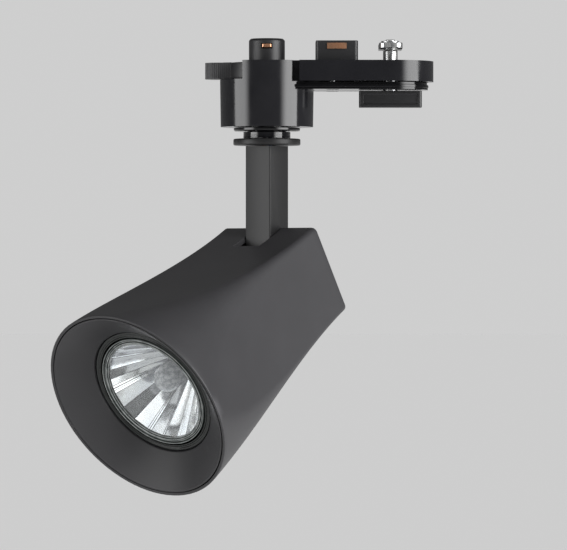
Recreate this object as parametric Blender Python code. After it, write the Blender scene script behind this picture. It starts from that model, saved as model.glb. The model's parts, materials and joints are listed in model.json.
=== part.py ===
"""Track spotlight.

A single-circuit track adapter carries a stem that pans, and the stem carries a die-cast head
that tilts. The head turns from a rectangle at its rear into a round bell at its front, and holds
a twist-in 50 mm reflector lamp behind a cone-shaped bezel.

The origin is on the pan axis, in the plane where the adapter meets the underside of the track.
+Z points up into the track, +X runs along the adapter's arm, and -Y is the front.
Lengths are in metres and angles in radians. The stem's pieces are drawn in the pan frame. The
head's pieces are drawn in the head frame: X across the head, Y up, and Z along the beam from
the centre of the rear face.
"""
from math import cos, pi, radians, sin

import bmesh
import bpy
from mathutils import Matrix, Vector

MM = 0.001
GAP = 0.3 * MM

# Pose at rest
PAN_REST = radians(40.2)
TILT_REST = radians(31.0)

# Adapter: a barrel on the pan axis and an arm along +X, both hanging from the seat plane z = 0
BARREL_RADIUS = 19.5 * MM
BARREL_DEPTH = 27.0 * MM
BARREL_DRAFT = 0.4 * MM
BARREL_FLOOR = 1.8 * MM
RECESS_RADIUS = 16.2 * MM
CAVITY_RADIUS = 15.0 * MM
LEDGE_DEPTH = 9.7 * MM
ARM_HALF_WIDTH = 17.8 * MM
ARM_END = 68.5 * MM
ARM_START = 12.0 * MM
ARM_DEPTH = 8.5 * MM
ARM_ROOF = 2.2 * MM
ARM_CAVITY_START = 21.0 * MM
COVER_INSET = 2.0 * MM
COVER_DEPTH = 11.8 * MM
COVER_SCREW_X = 27.0 * MM
COVER_SCREW_Y = 9.5 * MM
BOSS_RADIUS = 3.2 * MM
BOSS_BORE_TOP = -3.4 * MM
SINK_RADIUS = 2.7 * MM
SINK_DEPTH = 1.7 * MM
NOTCH_START = 10.4 * MM
NOTCH_END = 13.3 * MM
NOTCH_INNER_Y = 13.0 * MM
NOTCH_DEPTH = 8.6 * MM

# Terminal block in the arm
TERMINAL_START = 31.5 * MM
TERMINAL_END = 44.0 * MM
TERMINAL_HALF_WIDTH = 7.5 * MM
TERMINAL_BOTTOM = -7.4 * MM
TERMINAL_SCREW_Y = 3.8 * MM
TERMINAL_HOLE_DEPTH = 3.2 * MM

# Screws: head radius, head length, shank radius, shank length
COVER_SCREW = (2.4 * MM, 1.4 * MM, 1.2 * MM, 6.2 * MM)
TERMINAL_SCREW = (2.0 * MM, 0.7 * MM, 1.2 * MM, 2.6 * MM)
BRACKET_SCREW = (2.6 * MM, 1.6 * MM, 1.3 * MM, 3.7 * MM)
HOLDER_SCREW = (2.5 * MM, 1.5 * MM, 1.2 * MM, 3.9 * MM)
SCREW_BORE = 1.5 * MM
WIDE_SCREW_BORE = 1.6 * MM

# Lever that swings the contacts, and its rotor in the barrel
LEVER_TOP = -0.6 * MM
LEVER_BOTTOM = -7.3 * MM
LEVER_REACH = 25.4 * MM
LEVER_HALF_WIDTH = 5.5 * MM
LEVER_CORNER = 5.0 * MM
ROTOR_RADIUS = 15.7 * MM
STUB_RADIUS = 5.0 * MM
STUB_BOTTOM = -11.0 * MM
LEVER_SLOT_FROM = radians(158.0)
LEVER_SLOT_TO = radians(239.0)
TOWER_RADIUS = 7.4 * MM
TOWER_TOP = 9.4 * MM
TOWER_CHAMFER = 0.8 * MM
CONTACT_ROOT = 4.0 * MM
CONTACT_HALF_WIDTH = 2.0 * MM
CONTACT_CORNER = 0.8 * MM
CONTACT_REACH = 10.0 * MM
CONTACT_BOTTOM = 5.4 * MM
CONTACT_TOP = 7.0 * MM

# Insert in the track's mouth
INSERT_START = 20.0 * MM
INSERT_END = 37.4 * MM
INSERT_HALF_WIDTH = 7.9 * MM
INSERT_TOP = 8.4 * MM
INSERT_CORNER = 1.5 * MM
EARTH_HALF_LENGTH = 4.0 * MM
EARTH_THICK = 0.5 * MM
EARTH_BOTTOM = 5.0 * MM
POCKET_DEPTH = 0.6 * MM

# Lock knob, its shaft and its cam
LOCK_X = 50.8 * MM
LOCK_SHAFT_RADIUS = 3.0 * MM
LOCK_SHAFT_BOTTOM = -15.7 * MM
LOCK_PIN_RADIUS = 2.0 * MM
LOCK_PIN_TOP = 9.0 * MM
KNOB_LENGTH = 25.8 * MM
KNOB_WIDTH = 8.0 * MM
KNOB_CORNER = 2.2 * MM
KNOB_TOP = -12.1 * MM
KNOB_BOTTOM = -18.9 * MM
CAM_LENGTH = 24.0 * MM
CAM_WIDTH = 9.6 * MM
CAM_CORNER = 3.0 * MM
CLIP_RADIUS = 3.8 * MM
CLIP_THICK = 0.7 * MM
CAM_BOTTOM = 4.8 * MM
CAM_TOP = 7.4 * MM

# Pan bearing
BUSH_FLANGE_RADIUS = 13.6 * MM
BUSH_FLANGE_BOTTOM = -28.7 * MM
BUSH_FILLET = 1.3 * MM
BUSH_OUTER_RADIUS = 9.0 * MM
BUSH_INNER_RADIUS = 8.0 * MM
BUSH_TOP = -20.5 * MM
NECK_RADIUS = 9.7 * MM
NECK_BOTTOM = -31.5 * MM
SPINDLE_RADIUS = 7.7 * MM
SPINDLE_BORE = 3.5 * MM
SPINDLE_TOP = -14.5 * MM
PAN_NUT_RADIUS = 11.0 * MM
PAN_NUT_TOP = -15.5 * MM
PAN_NUT_BOTTOM = -19.0 * MM

# Stem
FLANGE_RADIUS = 13.8 * MM
FLANGE_TOP = -31.8 * MM
FLANGE_BOTTOM = -34.5 * MM
FLANGE_CHAMFER = 0.4 * MM
STEM_WIDTH = 13.2 * MM
STEM_DEPTH = 11.9 * MM
STEM_WALL = 1.2 * MM
STEM_CORNER = 0.5 * MM
STEM_BELOW_PIVOT = 6.0 * MM
STEM_LEAD_RADIUS = 0.8 * MM
STEM_LEAD_OFFSET = 1.6 * MM

# Head: a loft from a rounded rectangle (rear) to a circle (front)
HEAD_LENGTH = 107.6 * MM
REAR_WIDTH = 49.8 * MM
REAR_HEIGHT = 39.6 * MM
REAR_CORNER = 2.4 * MM
RIM_RADIUS = 42.6 * MM
RIM_WALL = 1.2 * MM
HEAD_WALL = 2.2 * MM
WIDTH_FLARE = 2.5
HEIGHT_FLARE = 1.7
CORNER_FLARE = 3.1
PIVOT_FROM_REAR = 10.8 * MM
PIVOT_ABOVE_AXIS = 5.5 * MM
PIVOT_Z = -85.8 * MM
SLOT_WIDTH = 14.1 * MM
SLOT_LENGTH = 17.0 * MM
SLOT_BOTTOM = -1.0 * MM
SHELL_STEPS = 12
REAR_CHAMFER = 0.7 * MM
INNER_CORNER_LEAST = 0.4 * MM

# Tilt joint inside the head
EAR_INNER = 7.7 * MM
EAR_THICK = 1.5 * MM
EAR_HALF_LENGTH = 6.2 * MM
EAR_BOTTOM = -0.5 * MM
EAR_TOP = 17.1 * MM
EAR_FLANGE_OUTER = 18.0 * MM
EAR_SCREW_X = 14.0 * MM
EAR_DRILL = 4.0 * MM
ROOF_BORE_START = 16.0 * MM
AXLE_RADIUS = 2.4 * MM
AXLE_END = 14.0 * MM
AXLE_HEAD_RADIUS = 4.4 * MM
AXLE_HEAD_LENGTH = 3.0 * MM
TILT_NUT_RADIUS = 4.6 * MM
TILT_NUT_LENGTH = 3.2 * MM
WASHER_RADIUS = 5.4 * MM
WASHER_THICK = 0.5 * MM

# Lamp and lampholder
GLASS_FRONT = 96.6 * MM
GLASS_THICK = 1.4 * MM
LAMP_RADIUS = 25.0 * MM
LAMP_LENGTH = 54.0 * MM
GLASS_RADIUS = 24.6 * MM
GLASS_CHAMFER = 0.5 * MM
LAMP_BASE_LENGTH = 17.0 * MM
LAMP_BASE_HALF_WIDTH = 10.4 * MM
LAMP_BASE_TAPER = 0.4 * MM
LAMP_BASE_HALF_HEIGHT = 8.0 * MM
LAMP_BASE_COLLAR = 5.0 * MM
REFLECTOR_OUTER_NECK = 10.5 * MM
REFLECTOR_OUTER_SWELL = 13.6 * MM
REFLECTOR_INNER_NECK = 7.6 * MM
REFLECTOR_INNER_SWELL = 14.9 * MM
REFLECTOR_CURVE = 0.62
REFLECTOR_STEPS = 5
REFLECTOR_NECK_WALL = 2.0 * MM
REFLECTOR_MOUTH = 23.4 * MM
RIM_BAND = 2.4 * MM
CAPSULE_FOOT = 2.5 * MM
CAPSULE_RADIUS = 5.6 * MM
CAPSULE_DEPTH = 9.7 * MM
PIN_LENGTH = 6.5 * MM
PIN_OFFSET = 5.0 * MM
PIN_NECK_RADIUS = 1.25 * MM
PIN_HEAD_RADIUS = 2.4 * MM
PIN_HEAD_LENGTH = 3.2 * MM
PIN_CHAMFER = 0.4 * MM
TWIST = radians(25.0)
HOLDER_RADIUS = 12.6 * MM
HOLDER_LENGTH = 14.0 * MM
HOLDER_FACE = 2.6 * MM
HOLDER_CHAMFER = 1.0 * MM
HOLDER_SCREW_Y = 6.0 * MM
CHAMBER_RADIUS = 8.9 * MM
CHAMBER_WALL = 4.0 * MM
PIN_CLEARANCE = 0.35 * MM
HOLDER_BORE_DEPTH = 2.4 * MM
PLATE_HALF_HEIGHT = 9.0 * MM
PLATE_THICK = 1.4 * MM
PLATE_ARM = 9.0 * MM
PLATE_CLEARANCE = 0.8 * MM
LAMP_LEAD_RADIUS = 0.9 * MM
LAMP_LEAD_OFFSET = 4.5 * MM
LEAD_HOLE_RADIUS = 2.4 * MM

# Bezel cone, measured back from the front rim
BEZEL_RADIUS = 41.0 * MM
BEZEL_EDGE = 0.8 * MM
BEZEL_EDGE_DEPTH = 1.2 * MM
BEZEL_BACK = 2.4 * MM
BEZEL_BACK_DEPTH = 2.6 * MM
BEZEL_FRONT = 0.25 * MM
BEZEL_LIP = 0.5 * MM
BEZEL_WALL = 1.3 * MM
CONE_DEPTH = 10.7 * MM
CONE_INNER_RADIUS = 28.2 * MM
CONE_INNER_EDGE = 0.7 * MM
CLIP_COUNT = 3
CLIP_HALF_WIDTH = 2.5 * MM
# A clip's outline: radius, and distance in front of the cone's inner edge
CLIP_OUTLINE = (
    (30.6 * MM, -0.6 * MM),
    (34.6 * MM, 2.4 * MM),
    (35.2 * MM, -3.0 * MM),
    (34.6 * MM, -3.0 * MM),
    (34.2 * MM, 1.5 * MM),
    (30.6 * MM, -1.2 * MM),
)

# Ring that centres the lamp in the cone's mouth: a band in the mouth and a flange behind it
LAMP_RING_BORE = LAMP_RADIUS + 0.4 * MM
LAMP_RING_BAND = CONE_INNER_RADIUS - 0.4 * MM
LAMP_RING_FLANGE = CONE_INNER_RADIUS + 1.2 * MM
LAMP_RING_FRONT = GLASS_FRONT - 0.2 * MM
LAMP_RING_BACK = GLASS_FRONT - 3.4 * MM

ROUND = 40
SMALL_ROUND = 20
FINE_ROUND = 12


def clear_scene():
    """Remove every object that the file opened with."""
    for item in list(bpy.data.objects):
        bpy.data.objects.remove(item, do_unlink=True)


def make_material(name, colour, roughness, metallic):
    """A plain Principled material."""
    made = bpy.data.materials.new(name)
    made.use_nodes = True
    shader = made.node_tree.nodes["Principled BSDF"]
    shader.inputs["Base Color"].default_value = (*colour, 1.0)
    shader.inputs["Roughness"].default_value = roughness
    shader.inputs["Metallic"].default_value = metallic
    return made


def make_empty(name, parent, location, rotation):
    """An empty that carries a joint axis or a frame."""
    empty = bpy.data.objects.new(name, None)
    bpy.context.scene.collection.objects.link(empty)
    empty.parent = parent
    empty.location = location
    empty.rotation_euler = rotation
    return empty


def finish_mesh(name, shape, material=None, parent=None):
    """Turn a bmesh into a named object under its parent."""
    bmesh.ops.recalc_face_normals(shape, faces=shape.faces)
    mesh = bpy.data.meshes.new(name)
    shape.to_mesh(mesh)
    shape.free()
    mesh.shade_smooth()
    mesh.set_sharp_from_angle(angle=radians(35.0))
    item = bpy.data.objects.new(name, mesh)
    bpy.context.scene.collection.objects.link(item)
    item.parent = parent
    if material:
        mesh.materials.append(material)
    return item


def arc(centre, radius, start, end, steps):
    """Points along an arc, both ends included."""
    points = []
    for step in range(steps + 1):
        angle = start + (end - start) * step / steps
        points.append((centre[0] + radius * cos(angle), centre[1] + radius * sin(angle)))
    return points


def circle(radius, centre=(0.0, 0.0), segments=ROUND, turn=0.0):
    """A circle's outline."""
    return arc(centre, radius, turn, turn + 2.0 * pi * (segments - 1) / segments, segments - 1)


def rounded_rectangle(half_width, half_height, corner, centre=(0.0, 0.0), steps=4):
    """A rectangle's outline with round corners, counterclockwise from its right side."""
    points = []
    for quarter, (side_x, side_y) in enumerate(((1, 1), (-1, 1), (-1, -1), (1, -1))):
        middle = (
            centre[0] + side_x * (half_width - corner),
            centre[1] + side_y * (half_height - corner),
        )
        points += arc(middle, corner, quarter * pi / 2, (quarter + 1) * pi / 2, steps)
    return points


def arm_outline(inset, start):
    """The arm's outline: straight flanks from start, and a half-round end."""
    radius = ARM_HALF_WIDTH - inset
    end_centre = ARM_END - ARM_HALF_WIDTH
    points = [(start, -radius)]
    points += arc((end_centre, 0.0), radius, -pi / 2, pi / 2, SMALL_ROUND)
    points.append((start, radius))
    return points


def arc_slot(radius, half_width, start, end):
    """A curved slot's outline about the origin, with round ends."""
    first = (radius * cos(start), radius * sin(start))
    last = (radius * cos(end), radius * sin(end))
    points = arc((0.0, 0.0), radius + half_width, start, end, 4)
    points += arc(last, half_width, end, end + pi, 6)[1:]
    points += arc((0.0, 0.0), radius - half_width, end, start, 4)[1:]
    points += arc(first, half_width, start + pi, start + 2 * pi, 6)[1:-1]
    return points


def prism(outline, low, high):
    """A solid with this outline from low to high along Z."""
    shape = bmesh.new()
    bottom = [shape.verts.new((x, y, low)) for x, y in outline]
    top = [shape.verts.new((x, y, high)) for x, y in outline]
    shape.faces.new(bottom)
    shape.faces.new(top)
    for index in range(len(outline)):
        after = (index + 1) % len(outline)
        shape.faces.new((bottom[index], bottom[after], top[after], top[index]))
    return shape


def block(low, high):
    """A box between two corners."""
    outline = [(low[0], low[1]), (high[0], low[1]), (high[0], high[1]), (low[0], high[1])]
    return prism(outline, low[2], high[2])


def turned(profile, segments=ROUND):
    """A solid of revolution about Z from a closed (radius, z) profile; radius 0 is on the axis."""
    shape = bmesh.new()
    rings = []
    for radius, z in profile:
        count = segments if radius > 0.0 else 1
        ring = []
        for index in range(count):
            angle = 2.0 * pi * index / segments
            ring.append(shape.verts.new((radius * cos(angle), radius * sin(angle), z)))
        rings.append(ring)
    for first, second in zip(rings, rings[1:] + rings[:1]):
        if len(first) == 1 and len(second) == 1:
            continue
        for index in range(segments):
            after = (index + 1) % segments
            corners = [first[index % len(first)], first[after % len(first)]]
            corners += [second[after % len(second)], second[index % len(second)]]
            shape.faces.new(list(dict.fromkeys(corners)))
    return shape


def moved(shape, offset=(0.0, 0.0, 0.0), turn=None):
    """Turn a bmesh with a rotation matrix, then move it."""
    if turn:
        bmesh.ops.transform(shape, matrix=turn, verts=shape.verts)
    bmesh.ops.translate(shape, vec=Vector(offset), verts=shape.verts)
    return shape


def along_x(shape, start, centre=(0.0, 0.0)):
    """Lay a shape drawn along Z on the X direction, starting at x = start."""
    return moved(shape, (start, centre[0], centre[1]), Matrix.Rotation(pi / 2, 4, "Y"))


def apply_tool(item, shape, operation, label):
    """Add or cut a bmesh with a Boolean on the object; the tool stays as a hidden guide."""
    tool = finish_mesh(item.name + "_" + label, shape, parent=item.parent)
    tool.hide_render = True
    tool.display_type = "WIRE"
    boolean = item.modifiers.new(label, "BOOLEAN")
    boolean.operation = operation
    boolean.solver = "EXACT"
    boolean.object = tool
    tool.location = item.location
    tool.rotation_euler = item.rotation_euler


def cut(item, shape, label):
    """Cut a shape out of the object."""
    apply_tool(item, shape, "DIFFERENCE", label)


def add(item, shape, label):
    """Join a shape to the object."""
    apply_tool(item, shape, "UNION", label)


def wire(name, points, radius, material, parent):
    """A round lead along a list of points."""
    curve = bpy.data.curves.new(name, "CURVE")
    curve.dimensions = "3D"
    curve.bevel_depth = radius
    curve.bevel_resolution = 1
    curve.use_fill_caps = True
    spline = curve.splines.new("POLY")
    spline.points.add(len(points) - 1)
    for place, point in zip(spline.points, points):
        place.co = (*point, 1.0)
    item = bpy.data.objects.new(name, curve)
    bpy.context.scene.collection.objects.link(item)
    item.parent = parent
    curve.materials.append(material)
    return item


def pan_head_screw(head_radius, head_length, shank_radius, shank_length):
    """A screw along +Z: head from -head_length to 0, shank up from 0."""
    profile = [
        (0.0, -head_length),
        (head_radius * 0.8, -head_length),
        (head_radius, -head_length * 0.6),
        (head_radius, 0.0),
        (shank_radius, 0.0),
        (shank_radius, shank_length),
        (0.0, shank_length),
    ]
    return turned(profile, FINE_ROUND)


# ---------------------------------------------------------------- adapter


def sector(radius, start, end, low, high):
    """A pie slice about the Z axis."""
    return prism([(0.0, 0.0)] + arc((0.0, 0.0), radius, start, end, 12), low, high)


def build_adapter_housing(plastic):
    """Barrel and arm in one moulding, hollow inside."""
    barrel = loft([
        (-BARREL_DEPTH, circle(BARREL_RADIUS - BARREL_DRAFT)),
        (0.0, circle(BARREL_RADIUS)),
    ])
    housing = finish_mesh("adapter_housing", barrel, plastic)
    add(housing, prism(arm_outline(0.0, ARM_START), -ARM_DEPTH, 0.0), "arm")
    cavity_floor = -BARREL_DEPTH + BARREL_FLOOR
    cavity = turned([
        (0.0, MM),
        (0.0, cavity_floor),
        (CAVITY_RADIUS, cavity_floor),
        (CAVITY_RADIUS, -LEDGE_DEPTH),
        (RECESS_RADIUS, -LEDGE_DEPTH),
        (RECESS_RADIUS, MM),
    ])
    cut(housing, cavity, "cavity")
    hole = prism(circle(BUSH_OUTER_RADIUS + GAP), -BARREL_DEPTH - MM, cavity_floor + MM)
    cut(housing, hole, "pan_hole")
    slot = sector(2.0 * BARREL_RADIUS, LEVER_SLOT_FROM, LEVER_SLOT_TO, LEVER_BOTTOM - GAP, MM)
    cut(housing, slot, "lever_slot")
    for label, side in (("front_notch", -1.0), ("rear_notch", 1.0)):
        inner, outer = sorted((side * NOTCH_INNER_Y, side * 1.2 * BARREL_RADIUS))
        notch = block((NOTCH_START, inner, -NOTCH_DEPTH), (NOTCH_END, outer, MM))
        cut(housing, notch, label)
    arm_cavity = prism(
        arm_outline(COVER_INSET, ARM_CAVITY_START), -ARM_DEPTH - MM, -ARM_ROOF
    )
    cut(housing, arm_cavity, "arm_cavity")
    for index, side in enumerate((-1.0, 1.0)):
        centre = (COVER_SCREW_X, side * COVER_SCREW_Y)
        boss = prism(circle(BOSS_RADIUS, centre, FINE_ROUND), -ARM_DEPTH, -ARM_ROOF + 0.5 * MM)
        add(housing, boss, "boss_%d" % (index + 1))
        bore = prism(circle(SCREW_BORE, centre, FINE_ROUND), -ARM_DEPTH - MM, BOSS_BORE_TOP)
        cut(housing, bore, "bore_%d" % (index + 1))
    shaft = circle(LOCK_SHAFT_RADIUS + GAP, (LOCK_X, 0.0), SMALL_ROUND)
    cut(housing, prism(shaft, -ARM_DEPTH, MM), "shaft_hole")
    pocket = block(
        (INSERT_START - GAP, -INSERT_HALF_WIDTH - GAP, -POCKET_DEPTH),
        (INSERT_END + GAP, INSERT_HALF_WIDTH + GAP, MM),
    )
    cut(housing, pocket, "insert_pocket")


def build_arm_cover(plastic):
    """The plate that closes the arm from below, set in from the arm's outline."""
    outline = arm_outline(COVER_INSET + GAP, 0.0)
    cover = finish_mesh("arm_cover", prism(outline, -COVER_DEPTH, -ARM_DEPTH - GAP), plastic)
    clearance = circle(BARREL_RADIUS + GAP)
    cut(cover, prism(clearance, -COVER_DEPTH - MM, -ARM_DEPTH + MM), "barrel_edge")
    shaft = circle(LOCK_SHAFT_RADIUS + GAP, (LOCK_X, 0.0), SMALL_ROUND)
    cut(cover, prism(shaft, -COVER_DEPTH - MM, -ARM_DEPTH + MM), "shaft_hole")
    for index, side in enumerate((-1.0, 1.0)):
        sink = turned([
            (0.0, -COVER_DEPTH - MM),
            (SINK_RADIUS, -COVER_DEPTH - MM),
            (SINK_RADIUS, -COVER_DEPTH + SINK_DEPTH),
            (SCREW_BORE, -COVER_DEPTH + SINK_DEPTH),
            (SCREW_BORE, -ARM_DEPTH + MM),
            (0.0, -ARM_DEPTH + MM),
        ], FINE_ROUND)
        centre = (COVER_SCREW_X, side * COVER_SCREW_Y, 0.0)
        cut(cover, moved(sink, centre), "screw_hole_%d" % (index + 1))


def build_cover_screws(steel):
    """Two screws that hold the arm's cover."""
    for index, side in enumerate((-1.0, 1.0)):
        screw = pan_head_screw(*COVER_SCREW)
        place = (COVER_SCREW_X, side * COVER_SCREW_Y, -COVER_DEPTH + COVER_SCREW[1])
        finish_mesh("cover_screw_%d" % (index + 1), moved(screw, place), steel)


def build_track_insert(plastic, copper):
    """The tongue in the track's mouth, with the earth contact on its front side."""
    centre = ((INSERT_START + INSERT_END) / 2, 0.0)
    half_length = (INSERT_END - INSERT_START) / 2
    outline = rounded_rectangle(half_length, INSERT_HALF_WIDTH, INSERT_CORNER, centre)
    finish_mesh("track_insert", prism(outline, -POCKET_DEPTH + GAP, INSERT_TOP), plastic)
    low = (
        centre[0] - EARTH_HALF_LENGTH,
        -INSERT_HALF_WIDTH - GAP - EARTH_THICK,
        EARTH_BOTTOM,
    )
    high = (centre[0] + EARTH_HALF_LENGTH, -INSERT_HALF_WIDTH - GAP, INSERT_TOP - MM)
    finish_mesh("earth_contact", block(low, high), copper)


def build_terminal_block(ceramic, steel):
    """Terminal block in the arm's cavity, with two clamp screws."""
    low = (TERMINAL_START, -TERMINAL_HALF_WIDTH, TERMINAL_BOTTOM)
    high = (TERMINAL_END, TERMINAL_HALF_WIDTH, -ARM_ROOF - GAP)
    terminal = finish_mesh("terminal_block", block(low, high), ceramic)
    middle = (TERMINAL_START + TERMINAL_END) / 2
    for index, y in enumerate((-TERMINAL_SCREW_Y, TERMINAL_SCREW_Y)):
        outline = circle(SCREW_BORE, (middle, y), FINE_ROUND)
        hole = prism(outline, TERMINAL_BOTTOM - MM, TERMINAL_BOTTOM + TERMINAL_HOLE_DEPTH)
        cut(terminal, hole, "hole_%d" % (index + 1))
        screw = pan_head_screw(*TERMINAL_SCREW)
        screw = moved(screw, (middle, y, TERMINAL_BOTTOM - GAP))
        finish_mesh("terminal_screw_%d" % (index + 1), screw, steel)


def build_contact_base(plastic):
    """The disc on the barrel's ledge that the contact rotor turns on."""
    ring = turned([
        (STUB_RADIUS + GAP, -LEDGE_DEPTH + GAP),
        (RECESS_RADIUS - GAP, -LEDGE_DEPTH + GAP),
        (RECESS_RADIUS - GAP, LEVER_BOTTOM - 2 * GAP),
        (STUB_RADIUS + GAP, LEVER_BOTTOM - 2 * GAP),
    ])
    finish_mesh("contact_base", ring, plastic)


def build_pan_bush(plastic):
    """Flanged bush in the barrel's floor; its flange shows as a collar under the barrel."""
    flange_top = -BARREL_DEPTH - GAP
    corner = (BUSH_FLANGE_RADIUS - BUSH_FILLET, BUSH_FLANGE_BOTTOM + BUSH_FILLET)
    profile = [(BUSH_INNER_RADIUS, BUSH_FLANGE_BOTTOM)]
    profile += arc(corner, BUSH_FILLET, -pi / 2, 0.0, 3)
    profile += [
        (BUSH_FLANGE_RADIUS, flange_top),
        (BUSH_OUTER_RADIUS, flange_top),
        (BUSH_OUTER_RADIUS, BUSH_TOP),
        (BUSH_INNER_RADIUS, BUSH_TOP),
    ]
    bush = turned(profile)
    finish_mesh("pan_bush", bush, plastic)


# ---------------------------------------------------------------- lever and lock


def build_contact_lever(axis, plastic):
    """Ribbed lever, rotor disc, its stub below and the contact tower above, in one moulding."""
    rotor = turned([
        (0.0, STUB_BOTTOM),
        (STUB_RADIUS, STUB_BOTTOM),
        (STUB_RADIUS, LEVER_BOTTOM),
        (ROTOR_RADIUS, LEVER_BOTTOM),
        (ROTOR_RADIUS, LEVER_TOP),
        (TOWER_RADIUS, LEVER_TOP),
        (TOWER_RADIUS, TOWER_TOP - TOWER_CHAMFER),
        (TOWER_RADIUS - TOWER_CHAMFER, TOWER_TOP),
        (0.0, TOWER_TOP),
    ])
    lever = finish_mesh("contact_lever", rotor, plastic, axis)
    centre = (-LEVER_REACH / 2, 0.0)
    outline = rounded_rectangle(LEVER_REACH / 2, LEVER_HALF_WIDTH, LEVER_CORNER, centre, 6)
    add(lever, prism(outline, LEVER_BOTTOM, LEVER_TOP), "plate")
    for label, side in (("front_pocket", -1.0), ("rear_pocket", 1.0)):
        inner, outer = sorted((side * (CONTACT_ROOT - GAP), side * (TOWER_RADIUS + MM)))
        pocket = block(
            (-CONTACT_HALF_WIDTH - GAP, inner, CONTACT_BOTTOM - GAP),
            (CONTACT_HALF_WIDTH + GAP, outer, CONTACT_TOP + GAP),
        )
        cut(lever, pocket, label)


def build_contacts(axis, copper):
    """Live and neutral blades, one on each side of the tower."""
    for name, side in (("live_contact", -1.0), ("neutral_contact", 1.0)):
        centre = (0.0, side * (CONTACT_ROOT + CONTACT_REACH) / 2)
        half_length = (CONTACT_REACH - CONTACT_ROOT) / 2
        outline = rounded_rectangle(CONTACT_HALF_WIDTH, half_length, CONTACT_CORNER, centre, 3)
        finish_mesh(name, prism(outline, CONTACT_BOTTOM, CONTACT_TOP), copper, axis)


def build_lock(axis, plastic, steel):
    """Bar knob under the arm, its shaft, the cam that grips the track, and the cam's clip."""
    knob_outline = rounded_rectangle(KNOB_LENGTH / 2, KNOB_WIDTH / 2, KNOB_CORNER)
    knob = finish_mesh("lock_knob", prism(knob_outline, KNOB_BOTTOM, KNOB_TOP), plastic, axis)
    socket = circle(LOCK_SHAFT_RADIUS + GAP, segments=SMALL_ROUND)
    cut(knob, prism(socket, LOCK_SHAFT_BOTTOM - GAP, KNOB_TOP + MM), "shaft_socket")
    shaft = turned([
        (0.0, LOCK_SHAFT_BOTTOM),
        (LOCK_SHAFT_RADIUS, LOCK_SHAFT_BOTTOM),
        (LOCK_SHAFT_RADIUS, CAM_BOTTOM - GAP),
        (LOCK_PIN_RADIUS, CAM_BOTTOM - GAP),
        (LOCK_PIN_RADIUS, LOCK_PIN_TOP),
        (0.0, LOCK_PIN_TOP),
    ], SMALL_ROUND)
    finish_mesh("lock_shaft", shaft, steel, axis)
    cam_outline = rounded_rectangle(CAM_WIDTH / 2, CAM_LENGTH / 2, CAM_CORNER)
    cam = finish_mesh("lock_cam", prism(cam_outline, CAM_BOTTOM, CAM_TOP), steel, axis)
    bore_radius = LOCK_PIN_RADIUS + GAP
    bore = prism(circle(bore_radius, segments=SMALL_ROUND), CAM_BOTTOM - MM, CAM_TOP + MM)
    cut(cam, bore, "bore")
    clip_bottom = CAM_TOP + GAP
    clip = turned([
        (bore_radius, clip_bottom),
        (CLIP_RADIUS, clip_bottom),
        (CLIP_RADIUS, clip_bottom + CLIP_THICK),
        (bore_radius, clip_bottom + CLIP_THICK),
    ], SMALL_ROUND)
    finish_mesh("cam_clip", clip, steel, axis)


# ---------------------------------------------------------------- stem


def build_pan_spindle(axis, plastic):
    """Neck collar and hollow spindle that turn in the bush."""
    spindle = turned([
        (SPINDLE_BORE, NECK_BOTTOM),
        (NECK_RADIUS, NECK_BOTTOM),
        (NECK_RADIUS, BUSH_FLANGE_BOTTOM - GAP),
        (SPINDLE_RADIUS, BUSH_FLANGE_BOTTOM - GAP),
        (SPINDLE_RADIUS, SPINDLE_TOP),
        (SPINDLE_BORE, SPINDLE_TOP),
    ])
    finish_mesh("pan_spindle", spindle, plastic, axis)


def build_pan_fasteners(axis, steel):
    """Nut and friction washer that hold the spindle up."""
    hexagon = circle(PAN_NUT_RADIUS, segments=6)
    nut = finish_mesh("pan_nut", prism(hexagon, PAN_NUT_BOTTOM, PAN_NUT_TOP), steel, axis)
    bore = prism(circle(SPINDLE_RADIUS + GAP), PAN_NUT_BOTTOM - MM, PAN_NUT_TOP + MM)
    cut(nut, bore, "bore")
    washer = turned([
        (SPINDLE_RADIUS + GAP, BUSH_TOP + GAP),
        (PAN_NUT_RADIUS, BUSH_TOP + GAP),
        (PAN_NUT_RADIUS, PAN_NUT_BOTTOM - GAP),
        (SPINDLE_RADIUS + GAP, PAN_NUT_BOTTOM - GAP),
    ])
    finish_mesh("pan_washer", washer, steel, axis)


def build_stem(axis, metal):
    """Round flange and the square tube below it."""
    flange = turned([
        (SPINDLE_BORE, FLANGE_BOTTOM),
        (FLANGE_RADIUS - FLANGE_CHAMFER, FLANGE_BOTTOM),
        (FLANGE_RADIUS, FLANGE_BOTTOM + FLANGE_CHAMFER),
        (FLANGE_RADIUS, FLANGE_TOP - FLANGE_CHAMFER),
        (FLANGE_RADIUS - FLANGE_CHAMFER, FLANGE_TOP),
        (SPINDLE_BORE, FLANGE_TOP),
    ])
    finish_mesh("stem_flange", flange, metal, axis)
    low = PIVOT_Z - STEM_BELOW_PIVOT
    outline = rounded_rectangle(STEM_WIDTH / 2, STEM_DEPTH / 2, STEM_CORNER, steps=2)
    tube = finish_mesh("stem_tube", prism(outline, low, FLANGE_BOTTOM - GAP), metal, axis)
    inside = block(
        (-STEM_WIDTH / 2 + STEM_WALL, -STEM_DEPTH / 2 + STEM_WALL, low - MM),
        (STEM_WIDTH / 2 - STEM_WALL, STEM_DEPTH / 2 - STEM_WALL, 0.0),
    )
    cut(tube, inside, "bore")
    hole = prism(circle(AXLE_RADIUS + GAP, segments=SMALL_ROUND), 0.0, 2 * STEM_WIDTH)
    cut(tube, along_x(hole, -STEM_WIDTH, (0.0, PIVOT_Z)), "axle_hole")


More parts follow.
